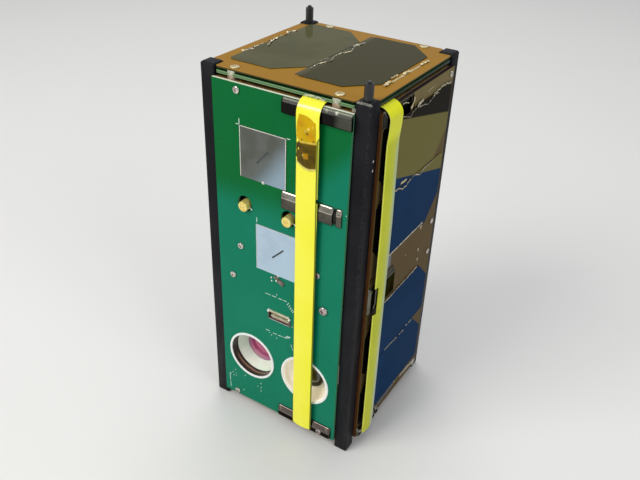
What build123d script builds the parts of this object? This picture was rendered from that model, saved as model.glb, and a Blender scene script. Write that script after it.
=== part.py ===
"""Two-unit cube satellite with two folded tape antennas, in millimetres.

It stands on its four rail feet. The origin is the middle of the feet, +Z is up,
and the green board with the two camera apertures faces -Y.
"""
import math
import os

from build123d import *

# Frame: four square rails with ribs between them
body_width = 100.0
body_height = 227.0
rail_width = 8.5
rail_chamfer = 0.8
rail_end_chamfer = 0.8
foot_hole_radius = 1.25
foot_hole_depth = 12.0
rib_height = 6.0
rib_screw_radius = 1.0
rib_screw_depth = 5.0
rib_pair_spacing = 22.2
half = body_width / 2
rail_inner = half - rail_width
rail_centre = half - rail_width / 2

# Side panels, which stand proud of the rails
panel_thickness = 1.6
panel_bottom = 6.5
panel_top_drop = 5.9
panel_screw_top_drop = 3.5
panel_screw_bottom_rise = 2.7
panel_screw_inset = 4.2
screw_hole_radius = 1.15
panel_face = half + panel_thickness
panel_top = body_height - panel_top_drop
panel_middle = (panel_top + panel_bottom) / 2

# Boards on the ends of the frame
board_inset = 1.0
board_thickness = 1.5
board_rail_gap = 0.5
board_corner_radius = 1.5
antenna_board_drop = 4.3
lid_gap = 1.3
lid_thickness = 0.7
board_screw_inset = 3.9
spacer_radius = 2.8
washer_radius = 2.8
board_edge = half - board_inset
antenna_board_bottom = body_height - antenna_board_drop
antenna_board_top = antenna_board_bottom + board_thickness
lid_bottom = antenna_board_top + lid_gap

# Solar cells
cell_thickness = 0.4
cell_side_margin = 1.5
cell_top_margin = 8.6
cell_bottom_margin = 8.6
cell_height = 41.0
cell_gap = 0.8
cell_corner = 14.0
cell_plain_corner = 2.0
lid_cell_gap = 1.1
lid_cell_margin = 0.4
lid_cell_shift = (-1.1, 3.5)
cell_length = 2 * (rail_inner - cell_side_margin)
cell_pair_height = 2 * cell_height + cell_gap
cell_pair_gap = (panel_top - cell_top_margin) - (panel_bottom + cell_bottom_margin) - 2 * cell_pair_height
cell_pair_middle = panel_bottom + cell_bottom_margin + cell_pair_height + cell_pair_gap / 2
lid_cell_width = rail_inner - lid_cell_margin - lid_cell_gap / 2

# Patch antennas on the front panel
patch_side = 29.2
patch_slot_length = 10.5
patch_slot_width = 1.0
patch_foil_thickness = 0.3
patch_plate_thickness = 0.5

# Round openings of the front panel
plug_hole_radius = 4.7
plug_radius = 2.5
plug_socket_radius = 1.3
plug_socket_depth = 1.2
plug_lip_chamfer = 0.4
plug_collar_radius = 3.1
plug_collar_length = 2.5
plug_proud = 2.8
plug_drop = 0.5

# Service connector on the front panel
connector_width = 15.9
connector_height = 6.6
connector_wall = 0.7
connector_proud = 0.5
connector_length = 8.0
connector_depth = 5.0
contact_bar_height = 1.2
contact_bar_sink = 0.8

# Cameras behind the front panel
aperture_radius = 15.4
aperture_ring_width = 1.4
aperture_ring_thickness = 0.6
cup_wall = 1.0
cup_clearance = 0.1
liner_wall = 0.5
wide_lens_depth = 10.8
wide_lens_radius = 10.8
wide_funnel_start = 5.7
barrel_lens_depth = 10.0
barrel_lens_radius = 9.0
barrel_glass_radius = 6.5
barrel_length = 3.5
barrel_funnel_start = 3.8
lens_crown = 1.8

# Closed block of boards and battery inside the frame
core_front_gap = 14.0
core_bottom = 12.0
core_top_drop = 15.0
core_front = half - core_front_gap

# Folded tape antennas
tape_thickness = 0.3
tape_width = 13.0
tape_standoff = 3.5
tape_bend_radius = 7.0
tape_root_length = 18.0
tape_crown = 1.0
tape_flare_length = 14.0
tape_end_rise = 3.0
tape_corner_radius = 0.7
tape_joint_gap = 0.3
tape_notch_depth = 2.8
tape_notch_clearance = 0.5

# Pressed sheet clips behind the tapes
clip_thickness = 0.5
clip_proud = 2.0
clip_ear_proud = 1.6
clip_foot = 6.0
clip_edge_radius = 0.9
clip_end_height = 8.4
clip_middle_height = 10.3
clip_edge_margin = 0.2

# Separation plungers in two rails
plunger_radius = 2.3
plunger_clearance = 0.05
plunger_proud = 9.4
plunger_sunk = 22.0
plunger_bore_spare = 6.0
plunger_shoulder_chamfer = 0.4
plunger_nose_radius = 1.1
plunger_nose_length = 1.1

side_turn = {"front": 0, "right": 90, "back": 180, "left": 270}


def block(x_range, y_range, z_range):
    """A box between two limits on each axis."""
    sizes = [high - low for low, high in (x_range, y_range, z_range)]
    middle = [(low + high) / 2 for low, high in (x_range, y_range, z_range)]
    return Pos(*middle) * Box(*sizes)


def peg(x, z, radius, y_range):
    """A cylinder along Y, in the front panel's directions."""
    low, high = y_range
    return Pos(x, (low + high) / 2, z) * Rot(90, 0, 0) * Cylinder(radius, high - low)


def post(x, y, radius, z_range):
    """A cylinder along Z."""
    low, high = z_range
    return Pos(x, y, (low + high) / 2) * Cylinder(radius, high - low)


def turned(side, shape):
    """A shape built on the front side, moved to the named side."""
    return Rot(0, 0, side_turn[side]) * shape


def write(name, shape):
    """Write one sub-part to its own file."""
    shape.label = name
    export_step(shape, os.path.join("parts", name + ".step"))


# Frame

def rail(x, y, with_plunger):
    """A square rail with a tapped foot, and a plunger bore in its upper end where it has one."""
    bar = Box(rail_width, rail_width, body_height)
    bar = chamfer(bar.edges().filter_by(Axis.Z), rail_chamfer)
    bar = chamfer(bar.faces().filter_by(Axis.Z).edges(), rail_end_chamfer)
    bar = Pos(x * rail_centre, y * rail_centre, body_height / 2) * bar
    bar -= post(x * rail_centre, y * rail_centre, foot_hole_radius, (0, foot_hole_depth))
    if with_plunger:
        bore_depth = plunger_sunk + plunger_proud + plunger_bore_spare
        bar -= post(x * rail_centre, y * rail_centre, plunger_radius + plunger_clearance,
                    (body_height - bore_depth, body_height))
    return bar


def ribs(screw_offsets):
    """The cross bars of one side, each with two tapped holes for the panel's screws."""
    bars = []
    for level, offset in zip(rib_screw_levels, screw_offsets):
        bar = block((-rail_inner, rail_inner), (-half, -rail_inner),
                    (level - rib_height / 2, level + rib_height / 2))
        for x in (-offset, offset):
            bar -= peg(x, level, rib_screw_radius, (-half, -half + rib_screw_depth))
        bars.append(bar)
    return bars


# Panels and boards

def panel_blank(screw_offsets):
    """A side panel with its screw holes."""
    panel = block((-rail_inner, rail_inner), (-panel_face, -half), (panel_bottom, panel_top))
    for level, offset in zip(rib_screw_levels, screw_offsets):
        for x in (-offset, offset):
            panel -= peg(x, level, screw_hole_radius, (-panel_face, -half))
    return panel


def front_panel(screw_offsets):
    """The green panel, with openings for the plugs, the connector and the cameras."""
    panel = panel_blank(screw_offsets)
    for x in plug_places:
        panel -= peg(x, plug_level, plug_hole_radius, (-panel_face, -half))
    panel -= connector_outline((-panel_face, -half))
    for camera in cameras:
        panel -= peg(camera["x"], camera["z"], aperture_radius + cup_wall, (-panel_face, -half))
    return panel


def end_board(bottom, thickness, holes):
    """A square board with its corners cut away round the rails."""
    notch = rail_inner - board_rail_gap
    cut = board_edge - notch
    sketch = Rectangle(2 * board_edge, 2 * board_edge)
    for x in (-1, 1):
        for y in (-1, 1):
            sketch -= Pos(x * (notch + cut / 2), y * (notch + cut / 2)) * Rectangle(cut, cut)
    sketch = fillet(sketch.vertices(), board_corner_radius)
    board = Pos(0, 0, bottom) * extrude(sketch, thickness)
    for x, y in holes:
        board -= post(x, y, screw_hole_radius, (bottom, bottom + thickness))
    return board


def spacer(x, y):
    """One stack below and between the end boards, a tube with a washer."""
    rib_top = rib_screw_levels[-1] + rib_height / 2
    tube = post(x, y, spacer_radius, (rib_top, antenna_board_bottom))
    washer = post(x, y, washer_radius, (antenna_board_top, lid_bottom))
    bore = post(x, y, screw_hole_radius, (rib_top, lid_bottom))
    return [tube - bore, washer - bore]


# Solar cells

def solar_cell(length, height, cut_side):
    """A flat cell with its two lower (-1) or upper (+1) corners cropped and the others trimmed."""
    cropped, trimmed = (0, -1) if cut_side < 0 else (-1, 0)
    sheet = Rectangle(length, height)
    sheet = chamfer(sheet.vertices().group_by(Axis.Y)[cropped], cell_corner)
    return chamfer(sheet.vertices().group_by(Axis.Y)[trimmed], cell_plain_corner)


def side_cells():
    """Four cells on one side panel, in two pairs that turn their cropped corners to the middle."""
    pitch = cell_height + cell_gap
    upper = panel_top - cell_top_margin - cell_height / 2
    lower = panel_bottom + cell_bottom_margin + cell_height / 2
    cells = []
    for level, cut_side in ((upper, -1), (upper - pitch, -1), (lower + pitch, 1), (lower, 1)):
        flat = Pos(0, -panel_face, level) * Rot(90, 0, 0) * solar_cell(cell_length, cell_height, cut_side)
        cells.append(extrude(flat, cell_thickness, dir=(0, -1, 0)))
    return cells


def lid_cells():
    """Two cells on the upper end board, with their cropped corners towards +X."""
    level = lid_bottom + lid_thickness
    x, y = lid_cell_shift
    apart = (lid_cell_width + lid_cell_gap) / 2
    cells = []
    for place in (x - apart, x + apart):
        flat = Pos(place, y, level) * Rot(0, 0, -90) * solar_cell(cell_length, lid_cell_width, 1)
        cells.append(extrude(flat, cell_thickness, dir=(0, 0, 1)))
    return cells


# Fittings of the front panel

def patch_antenna(x, z, thickness, slot_angle):
    """A square patch with a narrow diagonal slot."""
    plate = block((x - patch_side / 2, x + patch_side / 2), (-panel_face - thickness, -panel_face),
                  (z - patch_side / 2, z + patch_side / 2))
    slot = Rot(0, -slot_angle, 0) * Box(patch_slot_length, thickness, patch_slot_width)
    return plate - Pos(x, -panel_face - thickness / 2, z) * slot


def coax_plug(x):
    """A turned coax plug that stands on the core block and comes out through its hole."""
    z = plug_level - plug_drop
    front = -panel_face - plug_proud
    plug = peg(x, z, plug_radius, (front, -core_front))
    plug = chamfer(plug.edges().sort_by(Axis.Y)[0], plug_lip_chamfer)
    plug += peg(x, z, plug_collar_radius, (-core_front - plug_collar_length, -core_front))
    return plug - peg(x, z, plug_socket_radius, (front, front + plug_socket_depth))


def connector_outline(y_range, inset=0.0):
    """The service connector's rectangle between two depths."""
    x, z = connector_centre
    width = connector_width / 2 - inset
    height = connector_height / 2 - inset
    return block((x - width, x + width), y_range, (z - height, z + height))


def connector_shell():
    """An open metal shell that passes through the panel."""
    front = -panel_face - connector_proud
    shell = connector_outline((front, front + connector_length))
    shell = chamfer(shell.edges().filter_by(Axis.Y), connector_wall)
    return shell - connector_outline((front, front + connector_depth), connector_wall)


def connector_contacts():
    """Two contact bars that stand on the shell's floor, along its long walls."""
    x, z = connector_centre
    front = -panel_face - connector_proud
    reach = connector_width / 2 - 2 * connector_wall
    wall = connector_height / 2 - connector_wall
    bars = []
    for low, high in ((wall - contact_bar_height, wall), (-wall, -wall + contact_bar_height)):
        bars.append(block((x - reach, x + reach), (front + contact_bar_sink, front + connector_depth),
                          (z + low, z + high)))
    return bars


# Cameras

def ring_round_y(x, z, profile):
    """A solid of revolution about a line along Y through x, z, from points (radius, y)."""
    face = make_face(Polyline(*[(radius, y) for radius, y in profile], close=True))
    return Pos(x, 0, z) * revolve(face, Axis.Y)


def aperture_ring(camera):
    """The white ring on the panel's face."""
    front = -panel_face - aperture_ring_thickness
    outer = aperture_radius + aperture_ring_width
    profile = [(aperture_radius, front), (outer, front), (outer, -panel_face),
               (aperture_radius, -panel_face)]
    return ring_round_y(camera["x"], camera["z"], profile)


def camera_cup(camera):
    """A turned cup that stands on the core block and ends flush with the panel's face."""
    floor = -panel_face + camera["depth"]
    outer = aperture_radius + cup_wall - cup_clearance
    profile = [(0, floor), (aperture_radius, floor), (aperture_radius, -panel_face),
               (outer, -panel_face), (outer, -core_front), (0, -core_front)]
    return ring_round_y(camera["x"], camera["z"], profile)


def camera_funnel(camera):
    """The white cone between the cup's wall and the lens, with a short liner on one camera."""
    floor = -panel_face + camera["depth"]
    rim = -panel_face + camera["funnel_start"]
    if camera["lined"]:
        inner = aperture_radius - liner_wall
        profile = [(aperture_radius, floor), (aperture_radius, -panel_face), (inner, -panel_face),
                   (inner, rim), (camera["radius"], floor)]
    else:
        profile = [(aperture_radius, floor), (aperture_radius, rim), (camera["radius"], floor)]
    return ring_round_y(camera["x"], camera["z"], profile)


def camera_lens(camera):
    """A domed glass on the cup's floor, or in a barrel that stands there, inside the funnel."""
    floor = -panel_face + camera["depth"]
    front = floor - camera["barrel"]
    glass = camera["glass"]
    sphere = (glass ** 2 + lens_crown ** 2) / (2 * lens_crown)
    middle = (glass / 2, front - lens_crown + sphere - math.sqrt(sphere ** 2 - (glass / 2) ** 2))
    dome = ThreePointArc((0, front - lens_crown), middle, (glass, front))
    corners = [(glass, front), (camera["radius"], front), (camera["radius"], floor), (0, floor),
               (0, front - lens_crown)]
    if not camera["barrel"]:
        corners = corners[2:]
    return Pos(camera["x"], 0, camera["z"]) * revolve(make_face(dome + Polyline(*corners)), Axis.Y)


# Tape antennas, built on the front side

def tape_section(level, crown):
    """The tape's cross section at one height, bowed outwards by the crown."""
    x = tape_width / 2
    outer = -panel_face - tape_standoff + crown * 0.7
    inner = outer + tape_thickness
    front = ThreePointArc((-x, outer), (0, outer - crown), (x, outer))
    back = ThreePointArc((x, inner), (0, inner - crown), (-x, inner))
    ends = Line((x, outer), (x, inner)) + Line((-x, inner), (-x, outer))
    return Pos(0, 0, level) * make_face(front + ends + back)


def tape_blade(x, notch_clip):
    """The free length of tape, flat at the bend and bowed lower down, with a notch round a clip."""
    top = antenna_board_bottom - tape_bend_radius - tape_joint_gap
    low_end = panel_bottom + tape_end_rise
    flare = top - tape_flare_length
    nearly_flat = tape_crown / 20
    blade = loft([tape_section(top, nearly_flat), tape_section(flare, tape_crown)], ruled=True)
    blade += extrude(tape_section(flare, tape_crown), flare - low_end, dir=(0, 0, -1))
    end = Rectangle(tape_width, top - low_end)
    end = fillet(end.vertices().group_by(Axis.Y)[0], tape_corner_radius)
    end = Pos(0, -half, (top + low_end) / 2) * Rot(90, 0, 0) * end
    blade &= extrude(end, 2 * tape_standoff + 2 * panel_thickness, dir=(0, -1, 0))
    if notch_clip:
        edge = -tape_width / 2
        low = notch_clip["top"] - notch_clip["height"] - tape_notch_clearance
        blade -= block((edge, edge + tape_notch_depth), (-2 * half, 0),
                       (low, notch_clip["top"] + tape_notch_clearance))
    return Pos(x, 0, 0) * blade


def tape_root(x):
    """The clamped end of the tape under the antenna board, with its quarter bend."""
    out = panel_face + tape_standoff
    centre_y = -(out - tape_bend_radius)
    centre_z = antenna_board_bottom - tape_bend_radius
    inner_radius = tape_bend_radius - tape_thickness
    inner_end = centre_y + tape_root_length
    outer_arc = RadiusArc((centre_y, antenna_board_bottom), (-out, centre_z), -tape_bend_radius)
    inner_arc = RadiusArc((-out + tape_thickness, centre_z),
                          (centre_y, antenna_board_bottom - tape_thickness), inner_radius)
    step = Line((-out, centre_z), (-out + tape_thickness, centre_z))
    run = Polyline((centre_y, antenna_board_bottom - tape_thickness),
                   (inner_end, antenna_board_bottom - tape_thickness),
                   (inner_end, antenna_board_bottom), (centre_y, antenna_board_bottom))
    face = Plane.YZ * make_face(outer_arc + step + inner_arc + run)
    return Pos(x - tape_width / 2, 0, 0) * extrude(face, tape_width, dir=(1, 0, 0))


def clip_hood(x_range, clip, proud):
    """A pressed hood that slopes out from the clip's foot, with round edges and an open back."""
    low, high = x_range
    top, bottom = clip["top"], clip["top"] - clip["height"]
    back, face = -panel_face - clip_thickness, -panel_face - proud
    slope = clip["shoulder"] / (proud - clip_thickness)
    wall_drop = clip_thickness * math.hypot(1, slope)
    inner_face = face + clip_thickness
    inner_floor = bottom + clip_thickness
    outer = make_face(Polyline((back, top), (face, top - clip["shoulder"]), (face, bottom), (back, bottom),
                               close=True))
    inner = make_face(Polyline((back, top - wall_drop),
                               (inner_face, top - wall_drop - slope * (back - inner_face)),
                               (inner_face, inner_floor), (back, inner_floor), close=True))
    hood = Pos(low, 0, 0) * extrude(Plane.YZ * outer, high - low, dir=(1, 0, 0))
    hood = fillet(hood.faces().sort_by(Axis.Y)[0].edges(), clip_edge_radius)
    hollow = extrude(Plane.YZ * inner, high - low - 2 * clip_thickness, dir=(1, 0, 0))
    return hood - Pos(low + clip_thickness, 0, 0) * hollow


def tape_clip(clip, tape_x):
    """One clip: the hood behind the tape, and on some a lower ear beside it, on one foot strip."""
    hoods = [(clip["hood"], clip_proud)]
    if clip["ear"]:
        hoods.append((clip["ear"], clip_ear_proud))
    places = [[tape_x + end * tape_width for end in ends] for ends, proud in hoods]
    ends = [end for place in places for end in place]
    foot = min(clip_foot, clip["height"])
    strip = block((min(ends), max(ends)), (-panel_face - clip_thickness, -panel_face),
                  (clip["top"] - foot, clip["top"]))
    for place, (_, proud) in zip(places, hoods):
        strip += clip_hood(place, clip, proud)
    return strip


def plunger(x, y):
    """A sprung pin with a shoulder and a narrower nose."""
    shoulder = plunger_proud - plunger_nose_length
    pin = post(0, 0, plunger_radius, (-plunger_sunk, shoulder))
    pin = chamfer(pin.edges().sort_by(Axis.Z)[-1], plunger_shoulder_chamfer)
    pin += post(0, 0, plunger_nose_radius, (shoulder, plunger_proud))
    return Pos(x * rail_centre, y * rail_centre, body_height) * pin


# Heights and offsets of the screws, from the frame's own sizes

rib_screw_levels = (panel_bottom + panel_screw_bottom_rise, panel_middle - rib_pair_spacing / 2,
                    panel_middle + rib_pair_spacing / 2, panel_top - panel_screw_top_drop)
solar_screws = (rail_inner - panel_screw_inset,) * 4
front_screws = [offset * rail_inner for offset in (0.766, 0.766, 0.617, 0.617)]
board_screws = [(x * 0.62 * half, y * (half - board_screw_inset)) for x in (-1, 1) for y in (-1, 1)]
plug_level = 0.676 * body_height
connector_centre = (0.014 * half, 0.371 * body_height)

# Tables of like pieces

rails = [
    {"name": "rail_front_left", "x": -1, "y": -1, "plunger": None},
    {"name": "rail_front_right", "x": 1, "y": -1, "plunger": "plunger_front"},
    {"name": "rail_rear_right", "x": 1, "y": 1, "plunger": None},
    {"name": "rail_rear_left", "x": -1, "y": 1, "plunger": "plunger_rear"},
]
patches = [
    {"name": "patch_upper", "x": -0.195 * half, "z": 0.813 * body_height, "angle": 48.5,
     "thickness": patch_foil_thickness},
    {"name": "patch_lower", "x": 0.002 * half, "z": 0.568 * body_height, "angle": 45.0,
     "thickness": patch_plate_thickness},
]
plug_places = (-0.444 * half, 0.128 * half)
cameras = [
    {"name": "left", "x": -0.394 * half, "z": 0.198 * body_height, "depth": wide_lens_depth,
     "radius": wide_lens_radius, "glass": wide_lens_radius, "barrel": 0,
     "funnel_start": wide_funnel_start, "lined": False},
    {"name": "right", "x": 0.391 * half, "z": 0.198 * body_height, "depth": barrel_lens_depth,
     "radius": barrel_lens_radius, "glass": barrel_glass_radius, "barrel": barrel_length,
     "funnel_start": barrel_funnel_start, "lined": True},
]

# Clips: the ends of the hood and of the ear are in tape widths from the tape's middle
side_clip_height = 0.54 * cell_pair_gap
clips = {
    "front": [
        {"hood": (-1.31, 1.68), "ear": None, "top": panel_top - clip_edge_margin,
         "height": clip_end_height, "shoulder": 2.0},
        {"hood": (-1.31, 1.19), "ear": (1.31, 1.58), "top": 0.748 * body_height,
         "height": clip_middle_height, "shoulder": 3.4},
        {"hood": (-1.42, 1.55), "ear": None, "top": panel_bottom + 1.1 * clip_end_height,
         "height": clip_end_height, "shoulder": 3.8},
    ],
    "side": [
        {"hood": (-0.65, 1.38), "ear": (1.5, 1.77), "top": panel_top - clip_edge_margin,
         "height": cell_top_margin - 2 * clip_edge_margin, "shoulder": 2.0},
        {"hood": (-0.12, 1.58), "ear": (-0.65, -0.31), "top": cell_pair_middle + 0.19 * cell_pair_gap,
         "height": side_clip_height, "shoulder": 2.5},
        {"hood": (-0.65, 0.96), "ear": (1.08, 1.35), "top": panel_bottom + 0.8 * cell_bottom_margin,
         "height": 0.75 * cell_bottom_margin, "shoulder": 2.0},
    ],
}
tapes = [
    {"name": "front", "side": "front", "x": 0.39 * half, "notch": None},
    {"name": "side", "side": "right", "x": -0.65 * half, "notch": clips["side"][1]},
]


def build_frame():
    """Rails, plungers and ribs."""
    for spec in rails:
        write(spec["name"], rail(spec["x"], spec["y"], spec["plunger"] is not None))
        if spec["plunger"]:
            write(spec["plunger"], plunger(spec["x"], spec["y"]))
    for side in side_turn:
        screws = front_screws if side == "front" else solar_screws
        write("ribs_" + side, Compound([turned(side, bar) for bar in ribs(screws)]))


def build_boards():
    """Side panels, end boards, spacers and cells."""
    write("panel_front", front_panel(front_screws))
    for side in ("right", "back", "left"):
        write("panel_" + side, turned(side, panel_blank(solar_screws)))
        write("cells_" + side, Compound([turned(side, cell) for cell in side_cells()]))
    lowest = rib_screw_levels[0] - rib_height / 2 - board_thickness
    write("board_bottom", end_board(lowest, board_thickness, board_screws))
    write("antenna_board", end_board(antenna_board_bottom, board_thickness, board_screws))
    write("board_top", end_board(lid_bottom, lid_thickness, board_screws))
    write("cells_top", Compound(lid_cells()))
    write("board_spacers", Compound([piece for x, y in board_screws for piece in spacer(x, y)]))


def build_fittings():
    """What the front panel carries, and the block behind it."""
    for patch in patches:
        write(patch["name"], patch_antenna(patch["x"], patch["z"], patch["thickness"], patch["angle"]))
    write("coax_plugs", Compound([coax_plug(x) for x in plug_places]))
    write("connector_shell", connector_shell())
    write("connector_contacts", Compound(connector_contacts()))
    write("aperture_rings", Compound([aperture_ring(camera) for camera in cameras]))
    for camera in cameras:
        write("camera_cup_" + camera["name"], camera_cup(camera))
        write("camera_funnel_" + camera["name"], camera_funnel(camera))
        write("camera_lens_" + camera["name"], camera_lens(camera))
    write("core_block", block((-rail_inner, rail_inner), (-core_front, rail_inner),
                              (core_bottom, body_height - core_top_drop)))


def build_antennas():
    """The folded tapes and the clips behind them."""
    for tape in tapes:
        write("tape_root_" + tape["name"], turned(tape["side"], tape_root(tape["x"])))
        write("tape_blade_" + tape["name"], turned(tape["side"], tape_blade(tape["x"], tape["notch"])))
        specs = clips[tape["name"]]
        write("tape_clips_" + tape["name"],
              Compound([turned(tape["side"], tape_clip(clip, tape["x"])) for clip in specs]))


os.makedirs("parts", exist_ok=True)
build_frame()
build_boards()
build_fittings()
build_antennas()
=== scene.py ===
# A small cube-format satellite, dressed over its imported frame.
# Lengths in the tables are millimetres; meshes are made in metres, in the frame of the CAD part.
import bpy
import numpy as np
from mathutils import Matrix


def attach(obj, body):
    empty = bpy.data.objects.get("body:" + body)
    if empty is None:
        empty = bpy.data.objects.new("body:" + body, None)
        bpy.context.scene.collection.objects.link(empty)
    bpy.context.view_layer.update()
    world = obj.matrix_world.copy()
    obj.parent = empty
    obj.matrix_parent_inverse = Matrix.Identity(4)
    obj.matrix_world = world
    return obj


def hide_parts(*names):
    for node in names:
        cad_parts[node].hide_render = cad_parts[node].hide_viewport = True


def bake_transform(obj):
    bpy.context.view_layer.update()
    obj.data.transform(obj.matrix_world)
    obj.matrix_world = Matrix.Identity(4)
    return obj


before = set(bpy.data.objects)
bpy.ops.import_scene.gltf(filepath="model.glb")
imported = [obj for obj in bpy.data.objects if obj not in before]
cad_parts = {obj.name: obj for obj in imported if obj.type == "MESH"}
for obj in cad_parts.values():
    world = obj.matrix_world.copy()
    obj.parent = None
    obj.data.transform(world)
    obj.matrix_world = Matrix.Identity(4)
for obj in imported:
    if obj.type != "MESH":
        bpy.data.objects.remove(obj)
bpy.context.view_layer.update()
mm = 0.001

# Places shared with the CAD part
half = 50.0
panelFace = 51.6
cellTop = 52.0
railCentre = 45.75
boardUnder = 222.7
lidTop = 226.2
lidCellTop = 226.6
tapeOut = 55.1
bendRadius = 7.0


# Shapes: (points in mm, list of faces)

# Faces between neighbouring rows and columns of a grid of points, wrapped where it is closed.
def gridFaces(rows, columns, closed):
    across = columns if closed else columns - 1
    row, column = np.meshgrid(np.arange(rows - 1), np.arange(across), indexing="ij")
    here = row * columns + column
    beside = row * columns + (column + 1) % columns
    return np.stack([here, beside, beside + columns, here + columns], -1).reshape(-1, 4).tolist()


# A surface through a rows x columns x 3 array. A closed one is a tube, whose ends can be filled.
def surface(points, closed=False, firstCap=False, lastCap=False):
    rows, columns = points.shape[:2]
    faces = gridFaces(rows, columns, closed)
    if firstCap:
        faces.append(list(range(columns))[::-1])
    if lastCap:
        faces.append(list(range((rows - 1) * columns, rows * columns)))
    return points.reshape(-1, 3), faces


# Several shapes as one.
def joined(shapes):
    points, faces, count = [], [], 0
    for shapePoints, shapeFaces in shapes:
        points.append(shapePoints)
        faces += [[index + count for index in face] for face in shapeFaces]
        count += len(shapePoints)
    return np.concatenate(points), faces


# A shape turned by a 3 x 3 matrix, then shifted.
def moved(shape, shift, turn=None):
    points = shape[0] if turn is None else shape[0] @ np.asarray(turn).T
    return points + np.asarray(shift, float), shape[1]


# Side frames: a runs to the right seen from outside, b runs up, out points away from the body.
sideAxes = {
    "front": ((1, 0, 0), (0, 0, 1), (0, -1, 0)),
    "right": ((0, 1, 0), (0, 0, 1), (1, 0, 0)),
    "back": ((-1, 0, 0), (0, 0, 1), (0, 1, 0)),
    "left": ((0, -1, 0), (0, 0, 1), (-1, 0, 0)),
    "top": ((1, 0, 0), (0, 1, 0), (0, 0, 1)),
    "bottom": ((1, 0, 0), (0, -1, 0), (0, 0, -1)),
}


# A shape given in a side's own a, b and out, set on that side.
def onSide(shape, side):
    return shape[0] @ np.array(sideAxes[side], float), shape[1]


# The same on the front, with the shape's own middle at a place there.
def onFront(shape, place=(0, 0)):
    return onSide(moved(shape, (*place, 0)), "front")


# Loops in a and b, each lifted to its own height, as the rows of a surface.
def stacked(loops):
    return np.array([np.column_stack([loop, np.full(len(loop), height)]) for loop, height in loops])


# Round shape about the out axis: radius and height pairs carried round a circle.
# ripple(angle) scales the radii of the rows named in rippled, as for a hexagon or a cross.
def turnedShape(profile, segments=32, firstCap=True, lastCap=True, ripple=None, rippled=()):
    angle = np.arange(segments) / segments * 2 * np.pi
    rows = []
    for index, (radius, height) in enumerate(profile):
        reach = radius * (ripple(angle) if index in rippled else np.ones(segments))
        rows.append(np.stack([reach * np.cos(angle), reach * np.sin(angle), np.full(segments, height)], -1))
    return surface(np.array(rows), True, firstCap, lastCap)


# A hexagon: the inner radius over the cosine of the angle to the nearest side's middle.
def hexRipple(angle):
    return np.cos(np.pi / 6) / np.cos((angle + np.pi / 6) % (np.pi / 3) - np.pi / 6)


# A cross with arms 0.36 as wide as long: the nearest of the two arms' outlines at each angle.
def crossRipple(angle):
    x, y = np.abs(np.cos(angle)), np.abs(np.sin(angle))
    wide = 0.36
    alongX = np.minimum(1 / np.maximum(x, 1e-6), wide / np.maximum(y, 1e-6))
    alongY = np.minimum(1 / np.maximum(y, 1e-6), wide / np.maximum(x, 1e-6))
    return np.maximum(alongX, alongY)


# A flat plate from an outline in a and b: loops at the foot, the side and a slightly smaller face.
def plateShape(outline, under, over, bevel=0.0):
    outline = np.asarray(outline, float)
    centre = outline.mean(0)
    size = np.abs(outline - centre).max(0)
    inset = centre + (outline - centre) * (1 - bevel / size)
    rows = [(outline, under), (outline, over - bevel), (inset, over)]
    return surface(stacked(rows), True, True, True)


# Four corners about a centre, turned by an angle in degrees.
def rectangle(centre, size, turn=0.0):
    corners = np.array([(-1, -1), (1, -1), (1, 1), (-1, 1)]) * np.asarray(size) / 2
    c, s = np.cos(np.radians(turn)), np.sin(np.radians(turn))
    return corners @ np.array([(c, s), (-s, c)]) + np.asarray(centre)


# A dome of the given radius and rise: its height falls as the circle of a sphere does.
def domeProfile(radius, rise, foot, steps=8):
    sphere = (radius ** 2 + rise ** 2) / (2 * rise)
    angle = np.linspace(np.arcsin(min(radius / sphere, 1.0)), 0.02, steps)
    return [(sphere * np.sin(t), foot + rise - sphere * (1 - np.cos(t))) for t in angle]


# A thin bar between two points of a face, lying between two heights over it.
def stroke(start, end, width, low, high):
    start, end = np.asarray(start, float), np.asarray(end, float)
    along = (end - start) / np.linalg.norm(end - start)
    across = np.array((-along[1], along[0])) * width / 2
    return plateShape([start - across, end - across, end + across, start + across], low, high)


# A crumpled foil ribbon: the path in (a, b) is cut in short steps, each shifted sideways and folded
# up by random amounts, and a flat ring of six points is carried along it.
def ribbon(path, width, base, seed, wander=0.35, lift=0.5, step=0.9):
    draw = np.random.default_rng(seed)
    path = np.asarray(path, float)
    length = np.concatenate([[0], np.cumsum(np.linalg.norm(np.diff(path, axis=0), axis=1))])
    count = max(int(length[-1] / step), 3)
    at = np.linspace(0, length[-1], count)
    line = np.column_stack([np.interp(at, length, path[:, k]) for k in (0, 1)])
    along = np.gradient(line, axis=0)
    along /= np.linalg.norm(along, axis=1)[:, None]
    across = np.column_stack([-along[:, 1], along[:, 0]])
    line = line + across * draw.uniform(-wander, wander, count)[:, None]
    half = width / 2 * draw.uniform(0.7, 1.15, count)[:, None]
    edges = (line - across * half, line, line + across * half)
    heights = [base + draw.uniform(0.05, lift, count) for _ in edges]
    upper = [np.column_stack([edge, height]) for edge, height in zip(edges, heights)]
    lower = [np.column_stack([edge, height - 0.06]) for edge, height in zip(edges, heights)]
    return surface(np.stack(upper[::-1] + lower, 1), True, True, True)


# A round wire along a path in (a, b, out): circles square to the path's direction.
def wireShape(path, radius, segments=10):
    path = np.asarray(path, float)
    along = np.gradient(path, axis=0)
    along /= np.linalg.norm(along, axis=1)[:, None]
    first = np.cross(along, (0.31, 0.52, 0.79))
    first /= np.linalg.norm(first, axis=1)[:, None]
    second = np.cross(along, first)
    angle = np.arange(segments) / segments * 2 * np.pi
    rings = path[:, None] + radius * (first[:, None] * np.cos(angle)[:, None]
                                      + second[:, None] * np.sin(angle)[:, None])
    return surface(rings, True, True, True)


# Pieces

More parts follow.
